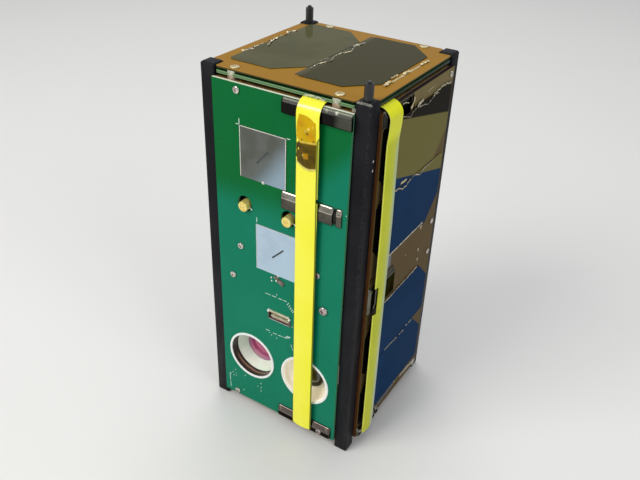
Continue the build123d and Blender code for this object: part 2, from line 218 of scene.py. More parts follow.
# marks holds one number a vertex for each name, which a material can read as an attribute.
def piece(name, shape, material, body="bus", sharp=35, replaced=(), marks=None):
    points, faces = shape
    mesh = bpy.data.meshes.new(name)
    mesh.from_pydata((points * mm).tolist(), [], faces)
    mesh.validate()
    mesh.polygons.foreach_set("use_smooth", np.ones(len(mesh.polygons), bool))
    mesh.set_sharp_from_angle(angle=np.radians(sharp))
    obj = bpy.data.objects.new(name, mesh)
    bpy.context.scene.collection.objects.link(obj)
    mesh.materials.append(material)
    for mark, values in (marks or {}).items():
        mesh.attributes.new(mark, "FLOAT", "POINT").data.foreach_set("value", np.asarray(values, np.float32))
    if body:
        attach(obj, body)
    if replaced:
        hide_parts(*replaced)
    return obj


# Materials

# Links a socket or sets a constant value on each named input.
def feed(tree, node, inputs):
    for key, value in inputs.items():
        if isinstance(value, bpy.types.NodeSocket):
            tree.links.new(value, node.inputs[key])
        else:
            node.inputs[key].default_value = value


# A new shader node of a kind, with its settings and its inputs.
def addNode(tree, kind, inputs=None, **settings):
    node = tree.nodes.new("ShaderNode" + kind)
    for key, value in settings.items():
        setattr(node, key, value)
    feed(tree, node, inputs or {})
    return node


# A new material, its tree, its surface shader and the place of each point in metres.
def blank(name):
    material = bpy.data.materials.new(name)
    material.use_nodes = True
    tree = material.node_tree
    place = addNode(tree, "TexCoord").outputs["Object"]
    return material, tree, tree.nodes["Principled BSDF"], place


# The x, y and z of a vector.
def axesOf(tree, vector):
    return addNode(tree, "SeparateXYZ", {"Vector": vector}).outputs


# A number that the mesh carries for each vertex.
def attribute(tree, name):
    return addNode(tree, "Attribute", attribute_name=name).outputs["Fac"]


# A cloudy value about 0.5, in patches of about size millimetres.
def noise(tree, place, size, detail=3.0, rough=0.55, stretch=(1, 1, 1), shift=(0, 0, 0)):
    spread = addNode(tree, "Mapping", {"Vector": place, "Scale": stretch, "Location": shift})
    return addNode(tree, "TexNoise", {"Vector": spread.outputs[0], "Scale": 1 / (size * mm),
                                      "Detail": detail, "Roughness": rough}).outputs["Fac"]


# A value's share t of the span low to high, held within it and eased by 3t^2 - 2t^3, carried to
# the span toLow to toHigh.
def remap(tree, value, low, high, toLow=0.0, toHigh=1.0):
    return addNode(tree, "MapRange", {"Value": value, "From Min": low, "From Max": high, "To Min": toLow,
                                      "To Max": toHigh}, interpolation_type="SMOOTHSTEP").outputs[0]


# One operation on up to three values.
def calc(tree, operation, first, second=0.0, third=0.0):
    return addNode(tree, "Math", {0: first, 1: second, 2: third}, operation=operation).outputs[0]


# first * second.
def times(tree, first, second):
    return calc(tree, "MULTIPLY", first, second)


# A colour between two: first * (1 - factor) + second * factor.
def mixed(tree, factor, first, second):
    inputs = {0: factor, 6: first, 7: second}
    inputs = {key: (*value, 1) if isinstance(value, tuple) else value for key, value in inputs.items()}
    return addNode(tree, "Mix", inputs, data_type="RGBA").outputs[2]


# Soft patches of two tones, where a noise passes from low to high.
def twoTones(tree, cloud, first, second, low=0.35, high=0.65):
    return mixed(tree, remap(tree, cloud, low, high), first, second)


# Gloss that wavers between two values with a noise.
def gloss(tree, grain, span):
    return remap(tree, grain, 0.3, 0.7, *span)


# The normal of a surface raised by height * depth in millimetres, on top of another normal if one
# is given.
def bump(tree, height, depth, onto=None):
    inputs = {"Height": height, "Distance": depth * mm, "Strength": 1.0}
    if onto is not None:
        inputs["Normal"] = onto
    return addNode(tree, "Bump", inputs).outputs[0]


# Paint, plastic or metal: two tones in soft patches, fine grain in the bump, uneven gloss, and where
# paintedGlow is given, a painted glow in the base colour.
def finish(name, look):
    material, tree, shader, place = blank(name)
    grain = noise(tree, place, look.get("grain", 0.3), 2, stretch=look.get("brush", (1, 1, 1)))
    feed(tree, shader, {
        "Base Color": twoTones(tree, noise(tree, place, look["patch"], 4), look["colour"], look["second"]),
        "Roughness": gloss(tree, grain, look["rough"]),
        "Normal": bump(tree, grain, look.get("depth", 0.005)),
        "Metallic": look.get("metal", 0.0), "Coat Weight": look.get("coat", 0.0), "Coat Roughness": 0.05})
    # A painted glow: a constant emission in the base colour.
    if "paintedGlow" in look:
        feed(tree, shader, {"Emission Color": (*look["colour"], 1), "Emission Strength": look["paintedGlow"]})
    return material


finishes = {
    "steelShell": dict(colour=(0.20, 0.17, 0.14), second=(0.15, 0.13, 0.11), metal=0.8, rough=(0.26, 0.38),
                       patch=4, grain=0.4, depth=0.003),
    "foil": dict(colour=(0.58, 0.53, 0.38), second=(0.38, 0.33, 0.22), metal=1.0, rough=(0.18, 0.36),
                 patch=1.4, grain=0.5, depth=0.02),
    "foilGold": dict(colour=(0.60, 0.50, 0.28), second=(0.45, 0.36, 0.18), metal=0.7, rough=(0.3, 0.5),
                     patch=1.6, grain=0.5, depth=0.01),
    "blueTab": dict(colour=(0.12, 0.14, 0.20), second=(0.08, 0.09, 0.14), metal=0.8, rough=(0.2, 0.35),
                    patch=3, grain=0.5, depth=0.006),
    "cellGap": dict(colour=(0.030, 0.028, 0.020), second=(0.045, 0.040, 0.028), rough=(0.4, 0.6), patch=3,
                    grain=0.4, depth=0.006),
    "slotFloor": dict(colour=(0.050, 0.062, 0.070), second=(0.035, 0.045, 0.050), rough=(0.35, 0.5), patch=3,
                      depth=0.004),
    "screwSteel": dict(colour=(0.68, 0.66, 0.62), second=(0.55, 0.50, 0.46), metal=1.0, rough=(0.2, 0.38),
                       patch=2),
    # A darker, pinkish copy of the screw steel: painted shade and reflection.
    "screwShadedPink": dict(colour=(0.42, 0.34, 0.33), second=(0.52, 0.47, 0.45), metal=1.0, rough=(0.2, 0.4),
                      patch=1.5),
    "screwGold": dict(colour=(0.56, 0.48, 0.28), second=(0.44, 0.38, 0.22), metal=0.5, rough=(0.35, 0.5),
                      patch=1.5),
    "nutPale": dict(colour=(0.62, 0.62, 0.50), second=(0.40, 0.42, 0.30), metal=0.3, rough=(0.3, 0.45),
                    patch=2),
    # The lower nuts: painted shade and a pinkish painted reflection on the same standoffs as nutPale.
    "nutShadedPink": dict(colour=(0.60, 0.42, 0.30), second=(0.30, 0.22, 0.15), metal=0.3, rough=(0.3, 0.45),
                    patch=1.2),
    "solder": dict(colour=(0.78, 0.77, 0.72), second=(0.62, 0.60, 0.52), metal=1.0, rough=(0.15, 0.4),
                   patch=1.2, grain=0.35, depth=0.03),
    "brass": dict(colour=(0.86, 0.74, 0.26), second=(0.78, 0.56, 0.12), metal=0.5, rough=(0.26, 0.42),
                  patch=2, depth=0.004),
    "contactGold": dict(colour=(0.46, 0.24, 0.04), second=(0.22, 0.12, 0.03), metal=0.6, rough=(0.3, 0.45),
                        patch=1.5, depth=0.004),
    "contactPink": dict(colour=(0.44, 0.26, 0.22), second=(0.50, 0.38, 0.28), metal=0.4, rough=(0.3, 0.45),
                        patch=1.5, depth=0.004),
    "whiteRing": dict(colour=(0.86, 0.88, 0.86), second=(0.78, 0.82, 0.78), rough=(0.3, 0.5), patch=4,
                      depth=0.008),
    "creamPlastic": dict(colour=(0.80, 0.91, 0.74), second=(0.80, 0.82, 0.70), rough=(0.45, 0.6), patch=7,
                         grain=0.4, depth=0.01),
    # The right camera's peach plastic has a painted glow.
    "peachPlastic": dict(colour=(0.97, 0.90, 0.76), second=(0.92, 0.82, 0.68), rough=(0.45, 0.6), patch=6,
                         grain=0.4, depth=0.008, paintedGlow=0.17),
    "latchWhite": dict(colour=(0.80, 0.86, 0.80), second=(0.70, 0.74, 0.66), rough=(0.25, 0.4), patch=1.5,
                       depth=0.01),
    "lipGrey": dict(colour=(0.30, 0.28, 0.32), second=(0.20, 0.18, 0.20), metal=0.4, rough=(0.3, 0.45),
                    patch=2, depth=0.006),
    "connectorCream": dict(colour=(0.62, 0.58, 0.44), second=(0.40, 0.42, 0.26), rough=(0.4, 0.55), patch=4,
                           grain=0.4, depth=0.008),
    "component": dict(colour=(0.12, 0.085, 0.075), second=(0.20, 0.15, 0.13), rough=(0.3, 0.45), patch=1.5,
                      depth=0.01),
    "barrelBlack": dict(colour=(0.030, 0.028, 0.026), second=(0.018, 0.017, 0.016), rough=(0.28, 0.45),
                        patch=6, depth=0.006),
    "ribMetal": dict(colour=(0.30, 0.30, 0.31), second=(0.24, 0.24, 0.25), metal=1.0, rough=(0.3, 0.45),
                     patch=20, grain=0.6, brush=(0.1, 0.1, 1), depth=0.004),
    "wire": dict(colour=(0.80, 0.80, 0.76), second=(0.7, 0.7, 0.66), rough=(0.3, 0.45), patch=3, grain=0.6,
                 depth=0.01),
    "silkscreen": dict(colour=(0.75, 0.86, 0.78), second=(0.50, 0.70, 0.60), rough=(0.5, 0.65), patch=1.5,
                       grain=0.2, depth=0.006),
    "coreGrey": dict(colour=(0.06, 0.06, 0.065), second=(0.04, 0.04, 0.045), rough=(0.5, 0.7), patch=10,
                     grain=0.6, depth=0.01),
    "pinBlack": dict(colour=(0.018, 0.018, 0.019), second=(0.03, 0.03, 0.03), rough=(0.25, 0.42), patch=5,
                     brush=(1, 1, 0.2), depth=0.006, metal=0.3),
    "amberFilm": dict(colour=(0.16, 0.085, 0.010), second=(0.07, 0.035, 0.006), rough=(0.2, 0.35), patch=6,
                      grain=1.5, depth=0.04, coat=0.3),
}
made = {name: finish(name, look) for name, look in finishes.items()}

# Black anodised rails: a reach, |x| + |y| in metres, past which the outer corner is worn, and the level and
# y past which the front right rail's upper edge is worn bright and carries a painted highlight.
railTones = dict(colour=(0.0075, 0.0075, 0.0100), second=(0.012, 0.0122, 0.0150), worn=(0.10, 0.09, 0.08),
                 wornReach=(0.0984, 0.0991), brim=(0.20, 0.20, 0.17), brimLevel=(0.2259, 0.2263),
                 brimOut=(-0.0489, -0.0493))


# The rails' black, in two tones. The outer corners are worn paler, and the upper end of the front-right rail
# is worn paler with a painted highlight on it, each by its place * the speckle.
def railFinish():
    look = railTones
    material, tree, shader, place = blank("railBlack")
    x, y, z = axesOf(tree, place)
    reach = calc(tree, "ADD", calc(tree, "ABSOLUTE", x), calc(tree, "ABSOLUTE", y))
    speckle = noise(tree, place, 1.2, 5, 0.7)
    worn = times(tree, remap(tree, reach, *look["wornReach"]), remap(tree, speckle, 0.45, 0.75))
    tone = twoTones(tree, noise(tree, place, 24, 4), look["colour"], look["second"], 0.35, 0.7)
    tone = mixed(tree, times(tree, worn, 0.35), tone, look["worn"])
    # The front-right rail's upper front edge: wear and a painted highlight.
    brim = times(tree, remap(tree, z, *look["brimLevel"]), remap(tree, y, *look["brimOut"]))
    brim = times(tree, brim, calc(tree, "GREATER_THAN", x, 0.0))
    tone = mixed(tree, times(tree, brim, remap(tree, speckle, 0.35, 0.6, 0.3)), tone, look["brim"])
    rub = noise(tree, place, 2.0, 3, 0.6, stretch=(1, 1, 0.06))
    feed(tree, shader, {"Base Color": tone, "Roughness": gloss(tree, rub, (0.34, 0.52)),
                        "Normal": bump(tree, noise(tree, place, 0.35, 2), 0.008),
                        "Specular IOR Level": 0.08})
    return material


# Circuit board: glossy colour on the faces, another where an edge or a hole shows.
# rim is the tone of the edges that lie away from rimLevel, flank a painted shade on the edges facing right,
# and lower is a second tone of the faces. It starts at a height that rises by lean for each millimetre of x.
def boardFinish(name, look):
    material, tree, shader, place = blank(name)
    axes = axesOf(tree, place)
    normal = axesOf(tree, addNode(tree, "NewGeometry").outputs["Normal"])
    cloud = noise(tree, place, look["patch"], 5, 0.5)
    tone = twoTones(tree, cloud, look["colour"], look["second"], 0.36, 0.66)
    # The lower tone is, on the green board, a painted reflection.
    if "lower" in look:
        rise = times(tree, calc(tree, "MAXIMUM", axes[0], 0.0), look["lean"])
        tone = mixed(tree, remap(tree, calc(tree, "SUBTRACT", axes[2], rise), *look["lowerSpan"]), tone,
                     twoTones(tree, cloud, look["lower"], look["lowerSecond"], 0.36, 0.66))
    dim = tuple(0.8 * value for value in look["core"])
    core = mixed(tree, noise(tree, place, 0.8, 2), look["core"], dim)
    if "rim" in look:
        level = calc(tree, "ABSOLUTE", calc(tree, "SUBTRACT", axes[2], look["rimLevel"] * mm))
        core = mixed(tree, remap(tree, level, 0.0003, 0.0006), core, look["rim"])
    # Painted shade on the edges that face right.
    if "flank" in look:
        core = mixed(tree, remap(tree, normal[0], 0.5, 0.8), core, look["flank"])
    skin = remap(tree, calc(tree, "ABSOLUTE", normal[look["axis"]]), 0.6, 0.8)
    grain = noise(tree, place, 0.9, 3)
    swell = bump(tree, noise(tree, place, look["swellSize"], 2), look["swell"], bump(tree, grain, 0.0015))
    feed(tree, shader, {"Base Color": mixed(tree, skin, core, tone), "Normal": swell,
                        "Roughness": gloss(tree, grain, look["rough"]), "Specular IOR Level": look["gloss"]})
    return material


sideBoard = dict(colour=(0.155, 0.120, 0.048), second=(0.165, 0.128, 0.052), lower=(0.090, 0.058, 0.018),
                 lowerSecond=(0.100, 0.065, 0.022), lowerSpan=(0.215, 0.212), lean=0.0,
                 core=(0.030, 0.020, 0.018), rim=(0.11, 0.042, 0.014), rimLevel=221.1, patch=60,
                 rough=(0.30, 0.36), swell=0.01, swellSize=16, gloss=0.02)
boards = {
    # The green board's lower, teal tone is a painted reflection on its gloss.
    "greenBoard": dict(axis=1, colour=(0.0010, 0.122, 0.027), second=(0.0014, 0.132, 0.031),
                       lower=(0.004, 0.178, 0.098), lowerSecond=(0.006, 0.190, 0.106),
                       lowerSpan=(0.168, 0.146), lean=1.0, core=(0.90, 0.89, 0.72),
                       rim=(0.070, 0.220, 0.110), rimLevel=221.3, patch=40, rough=(0.24, 0.30),
                       swell=0.02, swellSize=30, gloss=0.06),
    # The antenna board's right-facing edges get a painted shade.
    "antennaBoard": dict(axis=2, colour=(0.008, 0.06, 0.014), second=(0.012, 0.08, 0.020),
                         core=(0.10, 0.20, 0.07), rim=(0.22, 0.36, 0.20), rimLevel=223.4,
                         flank=(0.020, 0.035, 0.022), patch=8, rough=(0.3, 0.45), swell=0.01, swellSize=20,
                         gloss=0.2),
    "lidBoard": dict(axis=2, colour=(0.285, 0.138, 0.006), second=(0.300, 0.148, 0.008),
                     core=(0.070, 0.060, 0.020), patch=40, rough=(0.20, 0.28), swell=0.01, swellSize=24,
                     gloss=0.06),
    "sideLaminateX": dict(axis=0, **sideBoard),
    "sideLaminateY": dict(axis=1, **sideBoard),
}
made["railBlack"] = railFinish()


# Solar cell under cover glass: near-black blue, hair-fine grid fingers, a clear wavy coat.
# On the right side the two upper cells are olive under a near-black band, as far as slanted lines given by a
# level and a fall for each millimetre of y: partly the cells' own tint, partly painted reflection. Beside
# and behind the tape they are painted black, a painted shadow and reflection of the tape.
def cellFinish(name, look):
    material, tree, shader, place = blank(name)
    axes = axesOf(tree, place)
    along = calc(tree, "FRACT", times(tree, axes[look["fingers"]], 1 / (look["pitch"] * mm)))
    finger = calc(tree, "LESS_THAN", along, look["fingerShare"])
    onRight = calc(tree, "GREATER_THAN", axes[0], 0.0)
    tone = twoTones(tree, noise(tree, place, 30, 3), look["colour"], look["second"])
    # Olive and near-black bands on the right: partly tint, partly painted reflection.
    for level, fall, colour in look.get("bands", ()):
        height = calc(tree, "MULTIPLY_ADD", axes[1], fall, axes[2])
        over = remap(tree, height, (level - 0.5) * mm, (level + 0.5) * mm)
        tone = mixed(tree, times(tree, over, onRight), tone, colour)
    # Painted shadow and reflection of the tape: near black beside and behind it.
    if "shaded" in look:
        tapeShadow = remap(tree, axes[1], look["shaded"] + 0.001, look["shaded"] - 0.001)
        tone = mixed(tree, times(tree, tapeShadow, onRight), tone, (0.002, 0.002, 0.002))
    if "rightTone" in look:
        tone = mixed(tree, remap(tree, axes[0], -0.001, 0.004), tone, look["rightTone"])
    feed(tree, shader, {
        "Base Color": mixed(tree, times(tree, finger, 0.25), tone, look["line"]), "Roughness": 0.35,
        "Coat Normal": bump(tree, noise(tree, place, 30, 2), look["wave"]), "Specular IOR Level": 0.0,
        "Coat Weight": look["coat"], "Coat Roughness": 0.05, "Coat IOR": look["coatGlass"]})
    return material


cellPattern = dict(pitch=1.2, fingerShare=0.06, wave=0.02)
navyCell = dict(colour=(0.0018, 0.024, 0.075), second=(0.0024, 0.028, 0.086), coat=0.12, coatGlass=1.33,
                line=(0.012, 0.040, 0.095), **cellPattern)
cells = {
    "sideCellX": dict(fingers=1, bands=((172.0, 0.304, (0.150, 0.130, 0.040)),
                                        (205.4, 0.256, (0.011, 0.008, 0.004))), shaded=-0.0315, **navyCell),
    "sideCellY": dict(fingers=0, **navyCell),
    "lidCell": dict(fingers=0, colour=(0.085, 0.083, 0.038), second=(0.068, 0.066, 0.028),
                    rightTone=(0.040, 0.036, 0.011), coat=0.45, coatGlass=1.45, line=(0.10, 0.10, 0.06),
                    **cellPattern),
}


# Lacquered steel tape: clear-coated yellow with faint lengthwise streaks and a few dark specks.
# The attribute "across" runs from -1 to 1 over the width, "edge" from 0 on along the right edge, where a
# painted shade lies, and "height" is the level in metres. Each band is an attribute and its span, a span of
# height over which the band comes in, and its tone; most bands are painted shade, highlights and
# reflections.
def tapeFinish(name, look):
    material, tree, shader, place = blank(name)
    streak = noise(tree, place, 1.6, 3, 0.6, stretch=(1, 1, 0.03))
    tone = twoTones(tree, noise(tree, place, 20, 3), look["colour"], look["second"])
    speck = remap(tree, noise(tree, place, 0.9, 2, 0.6, shift=(3, 1, 2)), 0.76, 0.80)
    tone = mixed(tree, times(tree, speck, 0.5), tone, look["dirt"])
    for mark, span, heightSpan, colour in look["bands"]:
        inBand = times(tree, remap(tree, attribute(tree, mark), *span),
                       remap(tree, attribute(tree, "height"), *heightSpan))
        tone = mixed(tree, inBand, tone, colour)
    feed(tree, shader, {"Base Color": tone, "Roughness": gloss(tree, streak, (0.28, 0.40)),
                        "Normal": bump(tree, streak, 0.006), "Specular IOR Level": 0.2,
                        "Coat Weight": look["coat"], "Coat Roughness": 0.15})
    return material


wholeWidth, wholeHeight = (-3, -2), (0, 0.001)
tapes = {
    # Yellow tape: a painted shade along the right edge where the bow turns away, and above 160 mm a paler
    # painted highlight line along it.
    "yellowTape": dict(colour=(0.88, 0.84, 0.040), second=(0.90, 0.86, 0.065), dirt=(0.35, 0.30, 0.05),
                       bands=[("edge", (-0.01, 0.03), wholeHeight, (0.15, 0.17, 0.001)),
                              ("edge", (0.09, 0.13), (0.150, 0.160), (0.42, 0.46, 0.045)),
                              # A narrow painted highlight band across the bend, then the plain yellow again
                              # above it.
                              ("across", wholeWidth, (0.2190, 0.2195), (0.96, 0.95, 0.42)),
                              ("across", wholeWidth, (0.2198, 0.2204), (0.88, 0.84, 0.04))], coat=0.15),
    # Lime tape: painted highlights over the bend and along the left edge; paler, greyer tones over the right
    # half are a painted reflection.
    "limeTape": dict(colour=(0.44, 0.48, 0.006), second=(0.50, 0.53, 0.012), dirt=(0.28, 0.28, 0.03),
                     bands=[("across", wholeWidth, (0.203, 0.209), (0.66, 0.68, 0.006)),
                            ("across", wholeWidth, (0.2165, 0.2190), (0.76, 0.78, 0.010)),
                            ("across", (-0.90, -0.95), wholeHeight, (0.74, 0.76, 0.10)),
                            ("across", (0.15, 0.45), (0.206, 0.196), (0.37, 0.46, 0.20)),
                            ("across", (0.15, 0.45), (0.110, 0.050), (0.46, 0.52, 0.32))], coat=0.0),
}

# Amber polyimide film: glossy gold, with the attributes "orange" where it is creased and, as a painted
# highlight, on the raised pad, "dark" where it lies doubled and as painted shade in its hollows, and "light"
# for painted glints and highlights along the lifted rim and the fold. Each has two tones, in the same
# patches.
wrapGold = ((0.60, 0.365, 0.002), (0.52, 0.34, 0.002))
wrapTones = {
    "orange": ((0.60, 0.28, 0.002), (0.48, 0.24, 0.003)),
    "dark": ((0.105, 0.066, 0.002), (0.070, 0.042, 0.002)),
    "light": ((0.84, 0.76, 0.20), (0.74, 0.62, 0.12)),
}


# The film's gold, mixed with each marked tone as far as its attribute says.
def wrapFinish():
    material, tree, shader, place = blank("amberWrap")
    cloud = noise(tree, place, 4, 4)
    tone = twoTones(tree, cloud, *wrapGold, 0.38, 0.66)
    for mark, tones in wrapTones.items():
        tone = mixed(tree, attribute(tree, mark), tone, twoTones(tree, cloud, *tones, 0.38, 0.66))
    feed(tree, shader, {"Base Color": tone, "Normal": bump(tree, noise(tree, place, 2.2, 3), 0.06),
                        "Roughness": gloss(tree, cloud, (0.12, 0.24)), "Specular IOR Level": 0.05,
                        "Coat Weight": 0.1, "Coat Roughness": 0.06})
    return material


# Silvered patch: a metal mirror with a dull skin and a paler lower right corner, a painted reflection, where
# x - 0.8 z in metres passes from one end of cornerSheenSpan to the other.
def patchFinish(name, look):
    material, tree, shader, place = blank(name)
    axes = axesOf(tree, place)
    cloud = noise(tree, place, 9, 4, 0.5)
    # Painted reflection: the paler lower right corner.
    corner = calc(tree, "SUBTRACT", axes[0], times(tree, axes[2], 0.8))
    tone = mixed(tree, remap(tree, corner, *look["cornerSheenSpan"]),
                 twoTones(tree, cloud, look["colour"], look["second"], 0.36, 0.66), look["corner"])
    feed(tree, shader, {"Base Color": tone, "Normal": bump(tree, cloud, 0.01), "Metallic": look["metal"],
                        "Roughness": remap(tree, noise(tree, place, 2.5, 2), 0.35, 0.65, 0.20, 0.26)})
    return material


# The lower patch's pale blue is a painted reflection on its metal.
patches = {
    "patchGrey": dict(colour=(0.100, 0.108, 0.090), second=(0.128, 0.138, 0.124), corner=(0.28, 0.38, 0.46),
                      cornerSheenSpan=(-0.158, -0.137), metal=0.9),
    "patchBright": dict(colour=(0.40, 0.52, 0.63), second=(0.44, 0.56, 0.67), corner=(0.44, 0.58, 0.69),
                        cornerSheenSpan=(-0.110, -0.090), metal=0.6),
}


# Polished steel of the clips: the attribute "shade" is a painted reflection, from the dark mirror face to
# the pale shoulder and its painted highlights, and "warmth" goes from grey-green to brown.
def clipFinish():
    material, tree, shader, place = blank("clipSteel")
    cloud = noise(tree, place, 5, 3)
    pale = mixed(tree, attribute(tree, "warmth"), (0.50, 0.54, 0.42), (0.60, 0.48, 0.42))
    pale = twoTones(tree, cloud, pale, mixed(tree, 0.35, pale, (0.10, 0.09, 0.06)))
    # The painted reflection runs from the dark mirror to the pale steel.
    feed(tree, shader, {"Base Color": mixed(tree, attribute(tree, "shade"), (0.012, 0.0115, 0.011), pale),
                        "Roughness": gloss(tree, noise(tree, place, 1.2, 3), (0.10, 0.20)),
                        "Normal": bump(tree, cloud, 0.05), "Specular Tint": (0.3, 0.3, 0.28, 1),
                        "Metallic": 1.0})
    return material


# Coated glass: a tinted mirror coat, magenta in the middle and violet in a ring towards the rim.
# centre is the lens's middle (x, z) and radius its reach, in millimetres.
def lensFinish(name, look):
    material, tree, shader, place = blank(name)
    axes = axesOf(tree, place)
    x, z = (calc(tree, "SUBTRACT", axes[k], middle * mm) for k, middle in zip((0, 2), look["centre"]))
    reach = calc(tree, "SQRT", calc(tree, "ADD", times(tree, x, x), times(tree, z, z)))
    tone = twoTones(tree, noise(tree, place, 9, 2), look["colour"], look["second"])
    rim = remap(tree, reach, look["radius"] * 0.62 * mm, look["radius"] * 0.98 * mm)
    feed(tree, shader, {"Base Color": mixed(tree, rim, tone, look["rim"]), "Metallic": look["metal"],
                        "Roughness": gloss(tree, noise(tree, place, 1.5, 3), (0.06, 0.12)),
                        "Coat Weight": look["coat"], "Coat Roughness": 0.03})
    return material


lenses = {
    "wideLens": dict(centre=(-19.7, 44.95), radius=10.8, colour=(0.43, 0.05, 0.15),
                     second=(0.51, 0.12, 0.25), rim=(0.38, 0.085, 0.27), metal=0.15, coat=0.7),
    "barrelLens": dict(centre=(19.55, 44.95), radius=6.6, colour=(0.012, 0.012, 0.014),
                       second=(0.030, 0.030, 0.036), rim=(0.09, 0.09, 0.10), metal=0.2, coat=0.8),
}


# The dark wall of a camera's cup: near black at both ends, with a tan gleam halfway in, as bands of the
# depth below the panel's face.
def cupFinish():
    material, tree, shader, place = blank("cupWall")
    axes = axesOf(tree, place)
    depth = calc(tree, "MULTIPLY_ADD", noise(tree, place, 5, 3), 0.0008, axes[1])
    gleam = times(tree, remap(tree, depth, -0.0490, -0.0484), remap(tree, depth, -0.0470, -0.0476))
    low = remap(tree, axes[2], 0.040, 0.035)
    feed(tree, shader, {
        "Base Color": mixed(tree, times(tree, gleam, low), (0.032, 0.025, 0.021), (0.24, 0.14, 0.085)),
        "Roughness": gloss(tree, noise(tree, place, 0.8, 3), (0.28, 0.42)), "Specular IOR Level": 0.3})
    return material


made["cupWall"] = cupFinish()
made["amberWrap"] = wrapFinish()
made["clipSteel"] = clipFinish()
for makeFinish, looks in ((boardFinish, boards), (cellFinish, cells), (tapeFinish, tapes),
                          (patchFinish, patches), (lensFinish, lenses)):
    for name, look in looks.items():
        made[name] = makeFinish(name, look)
print("materials made:", len(made))


# CAD nodes that keep their shape
nodeFinish = {
    "panel_front": "greenBoard", "panel_right": "sideLaminateX", "panel_left": "sideLaminateX",
    "panel_back": "sideLaminateY", "board_top": "lidBoard", "board_bottom": "lidBoard",
    "antenna_board": "antennaBoard", "cells_right": "sideCellX", "cells_left": "sideCellX",
    "cells_back": "sideCellY", "cells_top": "lidCell", "ribs_front": "ribMetal", "ribs_back": "ribMetal",
    "ribs_left": "ribMetal", "ribs_right": "ribMetal", "core_block": "coreGrey",
    "camera_cup_left": "cupWall", "camera_cup_right": "peachPlastic",
}
for node, look in nodeFinish.items():
    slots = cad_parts[node].data.materials
    for index in range(len(slots)):
        slots[index] = made[look]
print("CAD nodes painted:", len(nodeFinish))


# Rails
railLook = dict(width=8.5, height=227.0, round=0.8, endBevel=0.8, footHole=1.25, footDepth=12.0,
                bore=2.35, boreDepth=38.0)


# A rounded square: a quarter circle at each corner, centred reach out from the middle both ways.
def roundedSquare(width, radius, steps=6):
    reach = width / 2 - radius
    turn = np.linspace(0, np.pi / 2, steps)
    loops = []
    for quarter, (x, y) in enumerate(((1, 1), (-1, 1), (-1, -1), (1, -1))):
        angle = turn + quarter * np.pi / 2
        corner = np.column_stack([np.cos(angle), np.sin(angle)]) * radius
        loops.append(corner + np.array((x, y)) * reach)
    return np.concatenate(loops)


# Rings from the foot hole out over the foot, up the rounded square, in over the upper end and down a bore.
def railShape(x, y, bored):
    look = railLook
    outer = roundedSquare(look["width"], look["round"])
    inset = roundedSquare(look["width"] - 2 * look["endBevel"], look["round"] - look["endBevel"] / 2)
    angle = np.arctan2(outer[:, 1], outer[:, 0])
    circle = np.column_stack([np.cos(angle), np.sin(angle)])
    top = look["height"]
    rings = [(circle * look["footHole"], look["footDepth"]), (circle * look["footHole"], 0.0), (inset, 0.0),
             (outer, look["endBevel"]), (outer, top - look["endBevel"]), (inset, top)]
    if bored:
        rings += [(circle * look["bore"], top), (circle * look["bore"], top - look["boreDepth"])]
    return moved(surface(stacked(rings), True, True, True), (x * railCentre, y * railCentre, 0))


for name, x, y, bored in (("rail_front_left", -1, -1, False), ("rail_front_right", 1, -1, True),
                          ("rail_rear_right", 1, 1, False), ("rail_rear_left", -1, 1, True)):
    piece(name + "_dressed", railShape(x, y, bored), made["railBlack"],
          replaced=(name,), sharp=50)
print("rails made")


# Plunger pins
plungerLook = dict(radius=2.3, low=205.0, shoulder=235.3, high=236.4, tip=0.4, nose=1.1)


# A straight pin with a chamfered shoulder and a narrower nose with a rounded end.
def plungerShape():
    look = plungerLook
    r, nose, shoulder, top = look["radius"], look["nose"], look["shoulder"], look["high"]
    profile = [(r, look["low"]), (r, shoulder - look["tip"]), (r - look["tip"], shoulder), (nose, shoulder),
               (nose, top - 0.3), (nose - 0.1, top - 0.1), (nose - 0.35, top)]
    return turnedShape(profile, 40)


for name, x, y, body in (("plunger_front", 1, -1, "front_plunger"),
                         ("plunger_rear", -1, 1, "rear_plunger")):
    piece(name + "_dressed", moved(plungerShape(), (x * railCentre, y * railCentre, 0)), made["pinBlack"],
          body, replaced=(name,), sharp=30)
print("plungers made")


# Screws
panHead = dict(radius=2.0, height=1.05, recess=1.15, recessDepth=0.7)


# Pan head: a flat rim, a rounded shoulder and a crown that dips into a cross recess.
def panShape(scale=1.0, segments=32):
    r, h = panHead["radius"], panHead["height"]
    profile = [(r * 0.97, 0), (r, 0.15), (r, h * 0.45), (r * 0.93, h * 0.75), (r * 0.78, h * 0.93),
               (r * 0.6, h), (panHead["recess"], h), (panHead["recess"] * 0.8, h - panHead["recessDepth"])]
    shape = turnedShape(profile, segments, ripple=crossRipple, rippled=(6, 7))
    return shape[0] * scale, shape[1]


# Heads at places of a side, each turned a bit further than the last. flat scales their height.
def headsOn(side, places, out, scale=1.0, flat=1.0):
    points, faces = panShape(scale)
    heads = []
    for index, (a, b) in enumerate(places):
        spin = index * 0.7
        turn = ((np.cos(spin), -np.sin(spin), 0), (np.sin(spin), np.cos(spin), 0), (0, 0, 1))
        heads.append(onSide(moved((points * (1, 1, flat), faces), (a, b, out), turn), side))
    return heads


